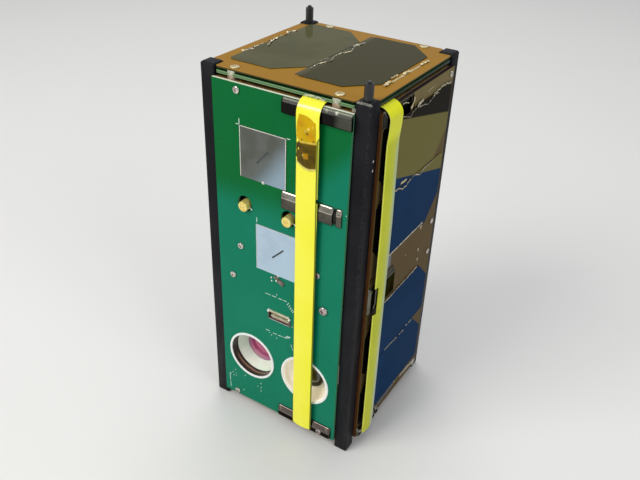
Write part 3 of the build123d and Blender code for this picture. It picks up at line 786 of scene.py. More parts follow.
screwLevels = (9.2, 102.7, 124.9, 217.6)
frontScrews = [(-25.6, 217.6), (-25.6, 124.9), (-31.8, 102.7), (-31.8, 9.2)]
solarScrews = [(x, level) for level in screwLevels for x in (-37.3, 37.3)]
boardScrews = [(x, y) for x in (-31.0, 31.0) for y in (-46.1, 46.1)]
heads = headsOn("front", frontScrews, panelFace)
heads += headsOn("back", solarScrews, panelFace, 0.85) + headsOn("left", solarScrews, panelFace, 0.85)
heads += headsOn("right", [place for place in solarScrews if place[0] > 0], panelFace, 0.85)
heads += headsOn("bottom", boardScrews, -4.7)
piece("screw_heads", joined(heads), made["screwSteel"], sharp=30)
lidHeads = headsOn("top", [(x * 0.9935 - 0.3, y * 0.987) for x, y in boardScrews], lidTop, 1.25, 0.6)
piece("lid_screw_heads", joined(lidHeads), made["screwGold"], sharp=30)


# A hex nut with chamfered ends. reach is half its width across the corners.
def nutShape(reach, low, high, chamfer=0.25):
    profile = [(reach - chamfer, low), (reach, low + chamfer), (reach, high - chamfer),
               (reach - chamfer, high)]
    return turnedShape(profile, 24, ripple=hexRipple, rippled=(0, 1, 2, 3))


# The four nuts of one level, a little off the screws as in the photo.
def nutRow(low, high):
    nut = nutShape(2.55, low, high)
    return joined([moved(nut, (x * 0.998 - 0.3, y * 1.027, 0)) for x, y in boardScrews])


# One standoff in two rows of nuts: the lower row carries a painted shade and pinkish reflection.
piece("board_nuts_upper", nutRow(223.0, 225.5), made["nutPale"], replaced=("board_spacers",),
      sharp=30)
piece("board_nuts_lower", nutRow(220.6, 223.0), made["nutShadedPink"], sharp=30)
piece("small_nut", moved(nutShape(1.2, 220.6, 222.7), (39.8, -47.4, 0)), made["nutPale"],
      sharp=30)
# Two heads in that darker, pinkish steel: painted shade and reflection.
dimHeads = headsOn("front", [(30.6, 103.0)], panelFace, 1.35) + headsOn("front", [(25.6, 124.9)], panelFace)
piece("dim_heads", joined(dimHeads), made["screwShadedPink"])

# Small plain dowel ends in the rail beside the side antenna.
dowels = [onSide(moved(turnedShape([(0.8, 0), (0.8, 0.12), (0.6, 0.25)], 16), (-44.3, level, half)), "right")
          for level in (197.0, 192.0)]
piece("rail_dowels", joined(dowels), made["screwSteel"])
print("screws made")


# Amber film on the rib tops, under the antenna board
filmLook = dict(level=220.85, swell=0.1, reach=49.0, corner=41.0, thickness=0.06)


# A gently rippled sheet, z = level + swell * sin(along x) * cos(along y), drawn in at the corners to clear
# the rails.
def filmShape():
    look = filmLook
    x, y = np.meshgrid(*[np.linspace(-look["reach"], look["reach"], 60)] * 2, indexing="ij")
    z = look["level"] + (look["swell"] * np.sin(x * 0.31 + 1.3 * np.sin(y * 0.12))
                         * np.cos(y * 0.27 + x * 0.05))
    atRail = (np.abs(x) > look["corner"]) & (np.abs(y) > look["corner"])
    x = np.where(atRail, np.sign(x) * look["corner"], x)
    return surface(np.stack([x, y, z], -1).transpose(1, 0, 2))


filmPiece = piece("amber_film", filmShape(), made["amberFilm"])
filmPiece.modifiers.new("wall", "SOLIDIFY").thickness = filmLook["thickness"] * mm
print("film made")


# Tape antennas
# edgeShadeFrom gives, at each level, where across the right edge's painted shade begins.
tapeLook = dict(width=13.0, thickness=0.3, crown=1.0, rootEnd=18.0, lowEnd=9.5, leftCorner=0.9,
                rightCorner=0.4, flare=14.0, crease=0.05,
                edgeShadeFrom=((10, 60, 130, 170, 200, 204, 208), (0.97, 0.93, 0.88, 0.80, 0.745, 0.745, 1.1)))
tapeBendAngle = np.pi / 2
bendLevel = boardUnder - bendRadius
bendOut = tapeOut - bendRadius


# The tape's middle line: out under the board, round the quarter bend, then straight down to the levels
# below it. Returns out and up of each station, and the same two of its unit normal.
def tapeLine(stationsRoot=8, stationsBend=18, belowLevels=()):
    root = np.linspace(bendOut - tapeLook["rootEnd"], bendOut, stationsRoot)[:-1]
    turn = np.linspace(0, tapeBendAngle, stationsBend)
    out = np.concatenate([root, bendOut + bendRadius * np.sin(turn), np.full(len(belowLevels), tapeOut)])
    up = np.concatenate([np.full(len(root), boardUnder), bendLevel + bendRadius * np.cos(turn), belowLevels])
    nOut = np.concatenate([np.zeros(len(root)), np.sin(turn), np.ones(len(belowLevels))])
    nUp = np.concatenate([np.ones(len(root)), np.cos(turn), np.zeros(len(belowLevels))])
    return out, up, nOut, nUp


# How far the outer face stands off the middle plane at a distance a across and a level: a bow of
# crown * (1 - u^2) about that plane, which grows in over the flare below the bend, and a faint crease.
def tapeRise(a, level):
    look = tapeLook
    grown = np.clip((bendLevel - level) / look["flare"], 0, 1) ** 1.2
    bow = look["crown"] * grown ** 2 * (3 - 2 * grown)
    crease = look["crease"] * np.exp(-(a / 0.5) ** 2 - ((level - 216) / 12) ** 2)
    return bow * (0.3 - (a / (look["width"] / 2)) ** 2) - crease


# How far a round corner at the lower end draws the side in: radius - sqrt(radius^2 - gap^2), where gap is
# the height still missing to the corner's upper end.
def cornerCut(level, radius):
    gap = np.clip(radius - (level - tapeLook["lowEnd"]), 0, radius)
    return radius - np.sqrt(radius ** 2 - gap ** 2)


# Levels below the bend, from the top down: even steps, closer ones at the lower corners, and a pair at each
# end of a cut.
def tapeLevels(cuts):
    low = tapeLook["lowEnd"]
    even = np.linspace(low, bendLevel - 0.4, 90)
    corner = low + tapeLook["leftCorner"] * (1 - np.cos(np.linspace(0, np.pi / 2, 10)))
    atCuts = [level + shift for cut in cuts for level in cut[:2] for shift in (-0.01, 0.01)]
    return np.unique(np.concatenate([even, corner, atCuts]))[::-1]


# How far the outline reaches to one side at each level: half the width, less its round corner and a cut
# given as (low, high, depth).
def tapeEdge(up, corner, cut):
    reach = tapeLook["width"] / 2 - cornerCut(up, corner)
    if cut:
        reach[(up > cut[0]) & (up < cut[1])] -= cut[2]
    return reach


# A closed skin round the tape, with a notch in its left edge or a nick in the right one. lean and sway shift
# the middle sideways and outwards, as tables of levels and shifts.
def tapeShape(notch=None, nick=None, lean=((0, 1), (0, 0)), sway=((0, 1), (0, 0))):
    look = tapeLook
    levels = tapeLevels([cut for cut in (notch, nick) if cut])
    out, up, nOut, nUp = tapeLine(belowLevels=levels)
    left, right = -tapeEdge(up, look["leftCorner"], notch), tapeEdge(up, look["rightCorner"], nick)
    u = np.linspace(0, 1, 15)
    a = left[:, None] * (1 - u) + right[:, None] * u
    rise = tapeRise(a, up[:, None])
    out = out + np.interp(up, *sway)
    a = a + np.interp(up, *lean)[:, None]
    outer = np.stack([a, up[:, None] + nUp[:, None] * rise, out[:, None] + nOut[:, None] * rise], -1)
    back = np.stack([np.zeros_like(a), np.broadcast_to(nUp[:, None], a.shape),
                     np.broadcast_to(nOut[:, None], a.shape)], -1) * look["thickness"]
    ring = np.concatenate([outer, (outer - back)[:, ::-1]], 1)[::-1]
    return surface(ring, True, True, True)


# One tape at a distance a along a side.
def tapePiece(name, side, a, cuts, material, nodes):
    local = tapeShape(**cuts)
    across, height = local[0][:, 0] / (tapeLook["width"] / 2), local[0][:, 1]
    marks = {"across": across, "height": height * mm,
             "edge": across - np.interp(height, *tapeLook["edgeShadeFrom"])}
    obj = piece(name, onSide(moved(local, (a, 0, 0)), side), material, None, sharp=40,
                replaced=nodes, marks=marks)
    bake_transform(obj)


frontTapeAt = 19.5
tapePiece("front_tape", "front", frontTapeAt, dict(nick=(170.4, 172.7, 0.9), lean=((10, 200), (0.6, -0.4))),
          made["yellowTape"], ("tape_root_front", "tape_blade_front"))
tapePiece("side_tape", "right", -32.5, dict(notch=(102.0, 120.2, 2.8),
                                          sway=((155, 175, 205, 215, 222), (0.35, 0, -0.5, -0.4, 0))),
          made["limeTape"], ("tape_root_side", "tape_blade_side"))

# The film's outline about the tape's middle: its upper and lower edges as levels over a, its sides as a
# over levels. knob and pad are a, level, size and lift. glints (painted highlights), hollows (painted shade)
# and orange are a, level and size.
wrapLook = dict(upper=((-5.1, -2.6, -0.3, 2.3, 4.2), (215.9, 215.9, 215.5, 214.5, 213.3)),
                lower=((-6.3, -3.9, -0.7, 1.3, 4.8), (190.2, 188.9, 187.8, 187.5, 188.3)),
                left=((190, 206, 211, 215.9), (-6.85, -6.8, -6.2, -5.2)),
                right=((188, 202, 205, 209, 213.3), (4.9, 4.85, 4.45, 4.5, 4.2)),
                doubled=((-6.4, -4.1, -1.0, 2.0, 5.5), (202.9, 201.3, 201.8, 202.1, 202.4)),
                gap=0.08, wrinkle=0.05, rim=1.2, knob=(0.3, 208.7, 1.5, 0.9), pad=(-0.7, 195.1, 1.5, 0.45),
                glints=((0.7, 209.6, 0.55), (-1.1, 208.1, 0.4), (2.7, 210.8, 0.3), (-2.4, 195.2, 0.4)),
                hollows=((0.0, 207.0, 0.7), (-3.2, 203.2, 0.5), (3.4, 203.6, 0.5)),
                orange=((1.9, 206.0, 2.2), (-4.4, 211.5, 2.2)))


# A weight that falls from 1 to 0 over a width about distance 0.
def fadeOut(distance, width):
    return np.clip(0.5 - distance / width, 0, 1)


# A round spot about a middle and a height: exp(-(distance / size)^2).
def spot(a, level, middle, height, size):
    return np.exp(-((a - middle) ** 2 + (level - height) ** 2) / size ** 2)


# The film's grid on the tape's face: a and the level of each point, and the lower edge's level.
def wrapGrid(columns=48, rows=84):
    look = wrapLook
    share = np.linspace(0, 1, columns)[None]
    first, last = look["lower"][0][0], look["lower"][0][-1]
    guide = first + (last - first) * share
    low, high = (np.interp(guide, *look[key]) for key in ("lower", "upper"))
    level = low + (high - low) * np.linspace(0, 1, rows)[:, None]
    left, right = (np.interp(level, *look[key]) for key in ("left", "right"))
    return left + (right - left) * share, level, low


# A film that follows the tape's bow with a gap and small wrinkles, and lies over a round knob and a flatter
# pad: heights exp(-d^2) and exp(-d^4) of the distance from each.
def wrapShape(a, level):
    look = wrapLook
    wrinkle = look["wrinkle"] * (1 + np.sin(level * 0.9 + a * 0.7) * np.sin(a * 1.9 - level * 0.45))
    for (middle, height, size, lift), power in ((look["knob"], 2), (look["pad"], 4)):
        reach = np.abs((a - middle) / size) ** power + np.abs((level - height) / size) ** power
        wrinkle += lift * np.exp(-reach)
    tapeFace = tapeOut + tapeRise(a, level)
    front = np.stack([a, level, tapeFace + look["gap"] + wrinkle], -1)
    back = np.stack([a, level, tapeFace + look["gap"] / 4], -1)
    return surface(np.concatenate([front, back[:, ::-1]], 1), True, True, True)


# How light, dark and orange the film is, from 0 to 1, at each point of its front and its back. light is
# painted glints and highlights, dark the doubled film and painted shade in the hollows.
def wrapMarks(a, level, low):
    look = wrapLook
    spots = {key: sum(spot(a, level, *place) for place in look[key])
             for key in ("glints", "hollows", "orange")}
    middle, height, size = look["pad"][:3]
    onPad = fadeOut(np.maximum(np.abs(a - middle), np.abs(level - height)) - size, 0.5)
    overFold = level - np.interp(a, *look["doubled"])
    # Painted highlights: the glints, the lifted lower rim and a line along the fold.
    light = spots["glints"] + 0.8 * fadeOut(level - low - look["rim"], 0.4)
    light += 0.5 * np.exp(-((overFold - 0.5) / 0.35) ** 2)
    # The doubled film is darker; the hollows get a painted shade.
    dark = spots["hollows"] + fadeOut(overFold, 1.0) * (1 - 0.6 * onPad)
    # On the raised pad the orange is a painted highlight.
    marks = {"light": light, "dark": dark, "orange": onPad + spots["orange"]}
    return {name: np.clip(np.concatenate([value, value[:, ::-1]], 1).ravel(), 0, 1)
            for name, value in marks.items()}


wrapA, wrapLevel, wrapLow = wrapGrid()
wrap = onSide(moved(wrapShape(wrapA, wrapLevel), (frontTapeAt, 0, 0)), "front")
piece("amber_wrap", wrap, made["amberWrap"], "front_antenna", sharp=40,
      marks=wrapMarks(wrapA, wrapLevel, wrapLow))
print("tapes made")


# Clips

# hood and ear are spans across the side, and top is the level of the upper edge. face and earFace, line,
# slope and bend are painted reflections of the face, the upper edge, the slope and the bend between slope
# and face, with painted highlights on the line: 0 is the dark mirror, 1 the palest steel. lowShade and
# plateShade are the painted reflection of the lower round and the painted shade of the foot strip.
clipLook = dict(proud=2.0, earProud=1.6, endRound=1.1, lowRound=1.2, plate=0.4, plateInset=(1.0, 0.8),
                edge=1.2, thinEnd=0.06, slopeSteps=(0, 0.14, 0.5, 0.85, 0.96, 1.06), lowShade=0.32,
                plateShade=0.04)
clipRows = {
    "front": [dict(hood=(2.5, 42.0), top=220.9, height=8.2, shoulder=2.0, face=0.0, pale=(32.5, 36.0),
                   line=0.45, slope=0.008, bend=0.03, warmth=0.0, endRound=0.5, end=0.5,
                   glintStreaks=((33.6, 0.5, 0.3), (28.4, 0.4, 0.15))),
              dict(hood=(2.5, 34.1), ear=(35.5, 39.0), top=169.8, height=10.3, shoulder=3.4, face=0.18,
                   earFace=0.20, line=0.50, slope=0.85, bend=1.0, warmth=0.5,
                   glintStreaks=((9.5, 2.6, 0.9), (29.3, 1.4, 0.9), (33.0, 0.9, 0.7), (38.0, 0.8, 0.7))),
              dict(hood=(1.0, 39.6), top=15.7, height=8.4, shoulder=3.8, face=0.02, line=0.15, slope=0.22,
                   bend=0.40, warmth=1.0, glintStreaks=((3.0, 0.6, 0.3), (37.0, 0.8, 0.3)))],
    "side": [dict(hood=(-41.0, -14.5), ear=(-13.0, -9.5), top=220.9, height=8.2, shoulder=2.0, face=0.02,
                  earFace=0.03, line=0.45, slope=0.025, bend=0.06, warmth=0.3),
             dict(hood=(-34.0, -12.0), ear=(-41.0, -36.5), top=119.8, height=17.2, shoulder=2.5, face=0.14,
                  earFace=0.24, line=0.34, slope=0.26, bend=0.40, warmth=0.3),
             dict(hood=(-41.0, -20.0), ear=(-18.5, -15.0), top=13.4, height=6.4, shoulder=2.0, face=0.08,
                  earFace=0.08, line=0.36, slope=0.40, bend=0.60, warmth=0.5)],
}


# Angles of a quarter circle, for the rounds of the hoods.
quarterTurn = np.linspace(0, np.pi / 2, 7)


# Places across a hood, and how far it stands out there, from 0 to 1: a quarter circle over endRound at both
# sides, and 1 between them.
def hoodSpan(low, high, endRound):
    rise = endRound * (1 - np.cos(quarterTurn))
    middle = np.linspace(low + clipLook["edge"], high - clipLook["edge"], 36)
    ends = np.concatenate([np.sin(quarterTurn), np.ones(len(middle)), np.sin(quarterTurn[::-1])])
    return np.concatenate([low + rise, middle, high - rise[::-1]]), np.maximum(ends, clipLook["thinEnd"])


# Drops below a hood's top, and how far it stands out there: a facet at 45 degrees, a slope out over the
# shoulder, the flat face, and a round in again at the lower edge.
def hoodProfile(row, proud):
    turn, shoulder, lowRound = quarterTurn[1:], row["shoulder"], clipLook["lowRound"]
    foot = row["height"] - lowRound
    drop = np.concatenate([shoulder * np.array(clipLook["slopeSteps"]), [shoulder + 0.5],
                           np.linspace(shoulder + 1.0, foot, 4), foot + lowRound * np.sin(turn)])
    facet = 0.25 + 0.14 * shoulder / proud
    down = np.concatenate([(0.25, facet, (facet + 0.89) / 2, 0.89, 0.97, 1.0), np.ones(5),
                           1 - 0.65 * (1 - np.cos(turn))])
    return drop, down


# A shade for each point of a hood, a painted reflection. pale is a span of a in which the face turns to a
# painted grey reflection, glintStreaks are painted highlights on the facet and slope, each a middle, a reach
# and a strength, and end is the painted tone of both ends.
def hoodShades(row, a, drop, ends, face, pale):
    line, slope, bend = row["line"], row["slope"], row["bend"]
    shade = np.concatenate([(line, (line + 3 * slope) / 4, slope, slope, bend, bend), np.full(5, face),
                            np.linspace(face, clipLook["lowShade"], 6)])
    shades = np.broadcast_to(shade, (len(a), len(drop)))
    if pale:
        grey = np.clip((a - pale[0]) / (pale[1] - pale[0]), 0, 1)[:, None] * (drop > row["shoulder"])
        shades = np.where(shades < 0.2, shades + (0.16 - shades) * grey, shades)
    onSlope = np.arange(len(drop)) < 3
    # Painted highlights along the facet and slope.
    for place, reach, strength in row.get("glintStreaks", ()):
        shades = shades + strength * np.exp(-((a - place) / reach) ** 2)[:, None] * onSlope
    ends = ends[:, None]
    shades = shades * ends + row.get("end", min(0.38, 2 * slope)) * (1 - ends)
    return np.clip(np.concatenate([shades, shades[:, [-1, 0]]], 1), 0, 1).ravel()


# A hood pressed from sheet, which stands out by proud * ends * down. Returns its shape and its shades.
def hoodShape(span, row, proud, face, pale=None):
    a, ends = hoodSpan(*span, row.get("endRound", clipLook["endRound"]))
    drop, down = hoodProfile(row, proud)
    out = panelFace + proud * ends[:, None] * down
    flat = np.stack(np.broadcast_arrays(a[:, None], row["top"] - drop, out), -1)
    back = flat[:, [-1, 0]].copy()
    back[..., 2] = panelFace
    shape = surface(np.concatenate([flat, back], 1), True, True, True)
    return shape, hoodShades(row, a, drop, ends, face, pale)


# One clip: its hood, its ear if it has one, and the foot strip behind both, each with its shades.
def clipParts(row):
    parts = [hoodShape(row["hood"], row, clipLook["proud"], row["face"], row.get("pale"))]
    if "ear" in row:
        parts.append(hoodShape(row["ear"], row, clipLook["earProud"], row["earFace"]))
    ends = row["hood"] + row.get("ear", ())
    across, up = clipLook["plateInset"]
    left, right = min(ends) + across, max(ends) - across
    low, high = row["top"] - row["height"] + up, row["top"] - up
    strip = plateShape([(left, low), (right, low), (right, high), (left, high)], panelFace,
                       panelFace + clipLook["plate"], 0.08)
    return parts + [(strip, np.full(len(strip[0]), clipLook["plateShade"]))]


for group, side in (("front", "front"), ("side", "right")):
    parts = [(*part, row["warmth"]) for row in clipRows[group] for part in clipParts(row)]
    warmths = [np.full(len(shades), warmth) for shape, shades, warmth in parts]
    marks = {"shade": np.concatenate([shades for shape, shades, warmth in parts]),
             "warmth": np.concatenate(warmths)}
    shape = onSide(joined([shape for shape, shades, warmth in parts]), side)
    piece("tape_clips_" + group + "_dressed", shape, made["clipSteel"],
          replaced=("tape_clips_" + group,), sharp=50, marks=marks)

# Clip screws in the same darker, pinkish steel: painted shade and reflection.
clipScrews = headsOn("front", [(32.0, 10.6)], 53.3, 0.95) + headsOn("right", [(-39.4, 11.6)], 53.4, 0.6)
piece("clip_screws", joined(clipScrews), made["screwShadedPink"], sharp=30)
print("clips made")


# Patch antennas
patchRows = [
    dict(name="patch_upper", place=(-9.75, 184.55), thick=0.3, slotTurn=48.5, material="patchGrey"),
    dict(name="patch_lower", place=(0.1, 128.94), thick=0.5, slotTurn=45.0, material="patchBright"),
]
patchSide, slotSize = 29.2, (10.5, 1.0)


# Points in equal steps round a square of half width 1, by angle.
def squareLoop(steps=12):
    t = np.linspace(-1, 1, steps, endpoint=False)
    one = np.ones(steps)
    return np.concatenate([np.column_stack([one, t]), np.column_stack([-t, one]),
                           np.column_stack([-one, -t]), np.column_stack([t, -one])])


# A square sheet with a slot: the square's loop up the edge, over the face to the slot's loop and down.
def patchShape(row):
    c, s = np.cos(np.radians(row["slotTurn"])), np.sin(np.radians(row["slotTurn"]))
    outer = squareLoop() * patchSide / 2
    inner = (squareLoop() * np.array(slotSize) / 2) @ np.array([(c, s), (-s, c)])
    inner = inner[np.argsort(np.arctan2(inner[:, 1], inner[:, 0]))]
    outer = outer[np.argsort(np.arctan2(outer[:, 1], outer[:, 0]))]
    low, high = panelFace, panelFace + row["thick"]
    rim = 0.04
    rings = [(outer, low), (outer, high - rim), (outer * (1 - rim / (patchSide / 2)), high), (inner, high),
             (inner, low)]
    return onFront(surface(stacked(rings), True), row["place"])


for row in patchRows:
    piece(row["name"] + "_dressed", patchShape(row), made[row["material"]],
          replaced=(row["name"],), sharp=30)
slots = [rectangle(row["place"], slotSize, row["slotTurn"]) for row in patchRows]
floors = [onFront(plateShape(slot, panelFace, panelFace + 0.05)) for slot in slots]
piece("patch_slots", joined(floors), made["slotFloor"])
print("patches made")


# Solder, small parts and printed ticks on the green board

# Drops of solder as a, b, radius and rise, then both ends of each seam along the patches.
frontSolder = [(-9.7, 170.0, 1.1, 0.6), (0.0, 113.8, 0.9, 0.6), (-4.6, 111.2, 0.6, 0.5),
               (-4.3, 109.1, 0.6, 0.5), (-1.2, 110.1, 0.7, 0.6), (10.0, 81.8, 0.45, 0.3)]
edgeSolder = [((-24.15, 199.0), (-24.15, 170.2)), ((-24.3, 199.0), (4.7, 199.0)),
              ((4.65, 199.0), (4.65, 170.2))]
lowerEdges = [((-14.4, 143.4), (14.6, 143.4)), ((-14.35, 143.4), (-14.35, 114.6))]
blobs = [onFront(turnedShape(domeProfile(r, rise, panelFace), 14), (a, b)) for a, b, r, rise in frontSolder]
blobs += [onFront(stroke(*ends, 0.45, panelFace + 0.2, panelFace + 0.36)) for ends in edgeSolder]
blobs += [onFront(stroke(*ends, 0.3, panelFace + 0.45, panelFace + 0.56)) for ends in lowerEdges]
piece("board_solder", joined(blobs), made["solder"])
clump = ribbon([(13.4, 222.7), (16.4, 224.0), (20.5, 223.7), (25.0, 222.9)], 1.1, 49.0, 5, 0.3, 0.7, 0.8)
piece("edge_foil", onFront(clump), made["nutPale"], sharp=25)
chips = [plateShape(rectangle((2.3, 110.4), (3.9, 2.4), -28), panelFace, panelFace + 1.1, 0.3),
         plateShape(rectangle((-1.0, 112.3), (3.2, 1.5), -22), panelFace, panelFace + 0.7, 0.2)]
piece("board_chips", onFront(joined(chips)), made["component"], sharp=60)

# Both ends of each tick, as a, b, a, b
printed = [
    (-24.6, 199.6, -24.6, 202.6), (-24.8, 199.3, -26.8, 199.3), (5.1, 199.3, 7.2, 199.3),
    (-14.3, 144.4, -14.2, 147.4), (-8.9, 98.4, -5.2, 98.5), (-4.4, 98.5, -1.2, 98.6),
    (0.3, 98.5, 2.9, 98.5), (3.6, 98.5, 6.0, 98.6), (-0.9, 100.1, -0.8, 101.0), (6.3, 96.3, 7.4, 98.2),
    (7.4, 95.1, 8.4, 97.0), (8.3, 93.9, 9.3, 95.8), (9.2, 93.0, 10.2, 94.8), (10.1, 92.2, 11.1, 94.1),
    (-8.7, 71.4, -5.9, 71.5), (-3.6, 70.9, -0.8, 71.2), (0.4, 71.1, 3.2, 71.3), (3.8, 71.3, 6.6, 71.6),
    (-6.3, 70.0, -5.6, 70.2), (-4.8, 68.5, -4.5, 69.3), (-0.9, 67.6, -0.8, 68.6), (5.4, 71.6, 7.2, 73.8),
    (6.4, 71.8, 8.4, 73.9), (7.4, 72.2, 8.9, 73.6), (9.3, 68.0, 10.2, 66.0), (10.4, 65.6, 11.2, 64.4),
    (-38.1, 20.9, -37.9, 14.8), (-37.8, 13.8, -37.6, 9.2), (-38.1, 21.0, -36.8, 21.1),
    (-35.9, 22.8, -35.4, 23.4), (-33.7, 25.9, -33.2, 26.5), (-35.1, 20.4, -34.6, 21.0),
    (-33.3, 22.9, -32.8, 23.4), (-33.3, 20.8, -32.9, 21.3), (-25.7, 24.6, -25.4, 25.6),
    (-13.1, 24.3, -12.9, 25.4), (-15.9, 20.9, -15.2, 21.4), (-13.1, 20.6, -12.8, 21.6),
    (-13.3, 17.7, -12.9, 18.8), (-27.4, 11.2, -26.8, 12.4), (41.0, 167.0, 41.4, 167.4),
]
ticks = [onFront(stroke(row[:2], row[2:], 0.36, panelFace - 0.01, panelFace + 0.03)) for row in printed]
piece("printed_ticks", joined(ticks), made["silkscreen"], sharp=30)
print("board details made:", len(ticks), "ticks")


# Coax plugs
plugLook = dict(places=(-21.7, 6.9), level=152.8, radius=3.05, front=54.4, flange=3.4, bore=1.6)


# The plug's profile from its flange on the core out to a rounded lip, then into the open front.
def plugShape():
    look = plugLook
    r, front, bore = look["radius"], look["front"], look["bore"]
    profile = [(look["flange"], 36.0), (look["flange"], 38.4), (r, 38.6), (r, 45.0), (r - 0.15, 45.2),
               (r - 0.15, 45.6), (r, 45.8), (r, front - 0.5), (r - 0.15, front - 0.12), (r - 0.45, front),
               (bore, front), (bore, front - 0.25)]
    pin = turnedShape([(0.5, front - 0.25), (0.5, front - 0.1), (0.3, front)], 12)
    return joined([turnedShape(profile, 40), pin])


plugs = [onFront(plugShape(), (a, plugLook["level"])) for a in plugLook["places"]]
piece("coax_plugs_dressed", joined(plugs), made["brass"], replaced=("coax_plugs",),
      sharp=30)
wirePaths = [[(a + 1.6, 152.9, 46.0), (a + 1.8, 152.4, 50.5), (a + 3.2, 151.9, 51.8), (a + 4.8, 151.4, 52.3)]
             for a in plugLook["places"]]
piece("plug_wires", onFront(joined([wireShape(path, 0.3) for path in wirePaths])), made["wire"])
print("plugs made")


# Service connector
connectorLook = dict(place=(1.0, 84.6), size=(15.9, 6.6), wall=0.7, front=52.1, back=44.1, floor=47.1)


# A rounded rectangle about the connector's middle: a rounded square with its halves drawn apart.
def connectorRing(inset, radius):
    width, height = (size / 2 - inset for size in connectorLook["size"])
    loop = roundedSquare(2 * height, radius)
    loop[:, 0] += np.sign(loop[:, 0]) * (width - height)
    return loop


# Rounded rectangle rings: outside from back to front, over the lip and down the inside to the floor.
def connectorShape():
    look = connectorLook
    wall, front = look["wall"], look["front"]
    rows = [(0, 0.7, look["back"]), (0, 0.7, front - 0.15), (0.15, 0.6, front), (wall - 0.1, 0.4, front),
            (wall, 0.3, front - 0.2), (wall, 0.3, look["floor"])]
    rings = [(connectorRing(inset, radius), level) for inset, radius, level in rows]
    return onFront(surface(stacked(rings), True, True, True), look["place"])


piece("connector_shell_dressed", connectorShape(), made["steelShell"],
      replaced=("connector_shell",), sharp=30)


# Rows of plates inside and round the shell: each row's middle, counted from the connector's, its size, how
# far out its top lies, its finish and the number of plates.
connectorRows = [
    dict(name="contacts_dressed", at=(0.0, 1.5), size=(13.0, 1.9), top=51.2, look="contactGold", count=12,
         replaced=("connector_contacts",)),
    dict(name="ground_bar", at=(0.4, -1.6), size=(12.4, 1.2), top=51.6, look="contactPink", count=12),
    dict(name="insulator", at=(0.4, 2.9), size=(13.6, 1.1), top=52.5, look="connectorCream", count=1),
    dict(name="tongue", at=(0.2, -0.6), size=(12.6, 0.35), top=51.9, look="connectorCream", count=1),
    # Black plates at both ends stand in for painted shade in the shell's end cavities.
    dict(name="end_shadow_blocks", at=(0.0, 0.2), size=(14.4, 2.2), top=49.0, look="barrelBlack", count=2),
]


# Plates side by side: a pair stands at the two ends of the width, and more than two share it.
def plateRow(row):
    a, b = connectorLook["place"] + np.array(row["at"])
    (width, height), count = row["size"], row["count"]
    pitch = width / count
    each = {1: width, 2: 0.8}.get(count, pitch * 0.72)
    steps = (np.arange(count) - (count - 1) / 2) * (width - each if count == 2 else pitch)
    return onFront(joined([plateShape(rectangle((a + step, b), (each, height)), connectorLook["floor"],
                                      row["top"], 0.12) for step in steps]))


for row in connectorRows:
    piece("connector_" + row["name"], plateRow(row), made[row["look"]], sharp=30,
          replaced=row.get("replaced", ()))
a, b = connectorLook["place"]
post = [(0.85, 50.0), (0.85, 52.3), (0.6, 52.8), (0.25, 52.9)]
posts = [moved(turnedShape(post, 20), (a + x, b + rise, 0)) for x, rise in ((-7.3, 2.7), (7.3, 1.9))]
lip = plateShape(rectangle((a + 0.3, b - 3.0), (14.2, 0.45)), panelFace, 52.3, 0.1)
piece("connector_posts", onFront(joined(posts)), made["latchWhite"])
piece("connector_lip", onFront(lip), made["lipGrey"])
print("connector made")


# Cameras
cameraAt = {"left": (-19.7, 44.95), "right": (19.55, 44.95)}
ringProfile = [(16.8, panelFace), (16.8, 52.0), (16.65, 52.2), (15.55, 52.2), (15.4, 52.0),
               (15.4, panelFace)]
rings = [onFront(turnedShape(ringProfile, 72, False, False), place) for place in cameraAt.values()]
piece("aperture_rings_dressed", joined(rings), made["whiteRing"],
      replaced=("aperture_rings",), sharp=30)

# The round parts in each aperture. Only the lenses are closed in the middle.
cameraParts = [
    dict(name="funnel_left_dressed", at="left", look="creamPlastic", slot="cream_plastic", segments=72,
         profile=[(15.35, 45.9), (15.35, 46.15), (14.95, 46.25), (11.3, 41.05), (10.8, 40.85)],
         replaced=("camera_funnel_left",)),
    dict(name="funnel_right_dressed", at="right", look="peachPlastic", slot="cream_plastic", segments=72,
         profile=[(15.4, panelFace), (14.9, 51.45), (14.9, 47.8), (14.65, 47.6), (9.2, 41.7), (9.0, 41.6)],
         replaced=("camera_funnel_right",)),
    dict(name="lens_left_dressed", at="left", look="wideLens", slot="coated_lens", segments=64,
         profile=domeProfile(10.8, 1.8, 40.8), replaced=("camera_lens_left",)),
    dict(name="barrel_right", at="right", look="barrelBlack", slot="dark_barrel", segments=64,
         profile=[(9.0, 41.6), (9.0, 44.7), (8.7, 45.1), (7.4, 45.1), (7.2, 44.7), (6.6, 44.6)],
         replaced=("camera_lens_right",)),
    dict(name="glass_right", at="right", look="barrelLens", slot="coated_lens", segments=48,
         profile=domeProfile(6.6, 1.8, 44.6)),
]
for part in cameraParts:
    isLens = part["slot"] == "coated_lens"
    shape = turnedShape(part["profile"], part["segments"], False, isLens)
    piece("camera_" + part["name"], onFront(shape, cameraAt[part["at"]]), made[part["look"]],
          replaced=part.get("replaced", ()), sharp=60 if isLens else 30)
print("cameras made")


# Foil interconnects, contacts and bus strips of the solar panels

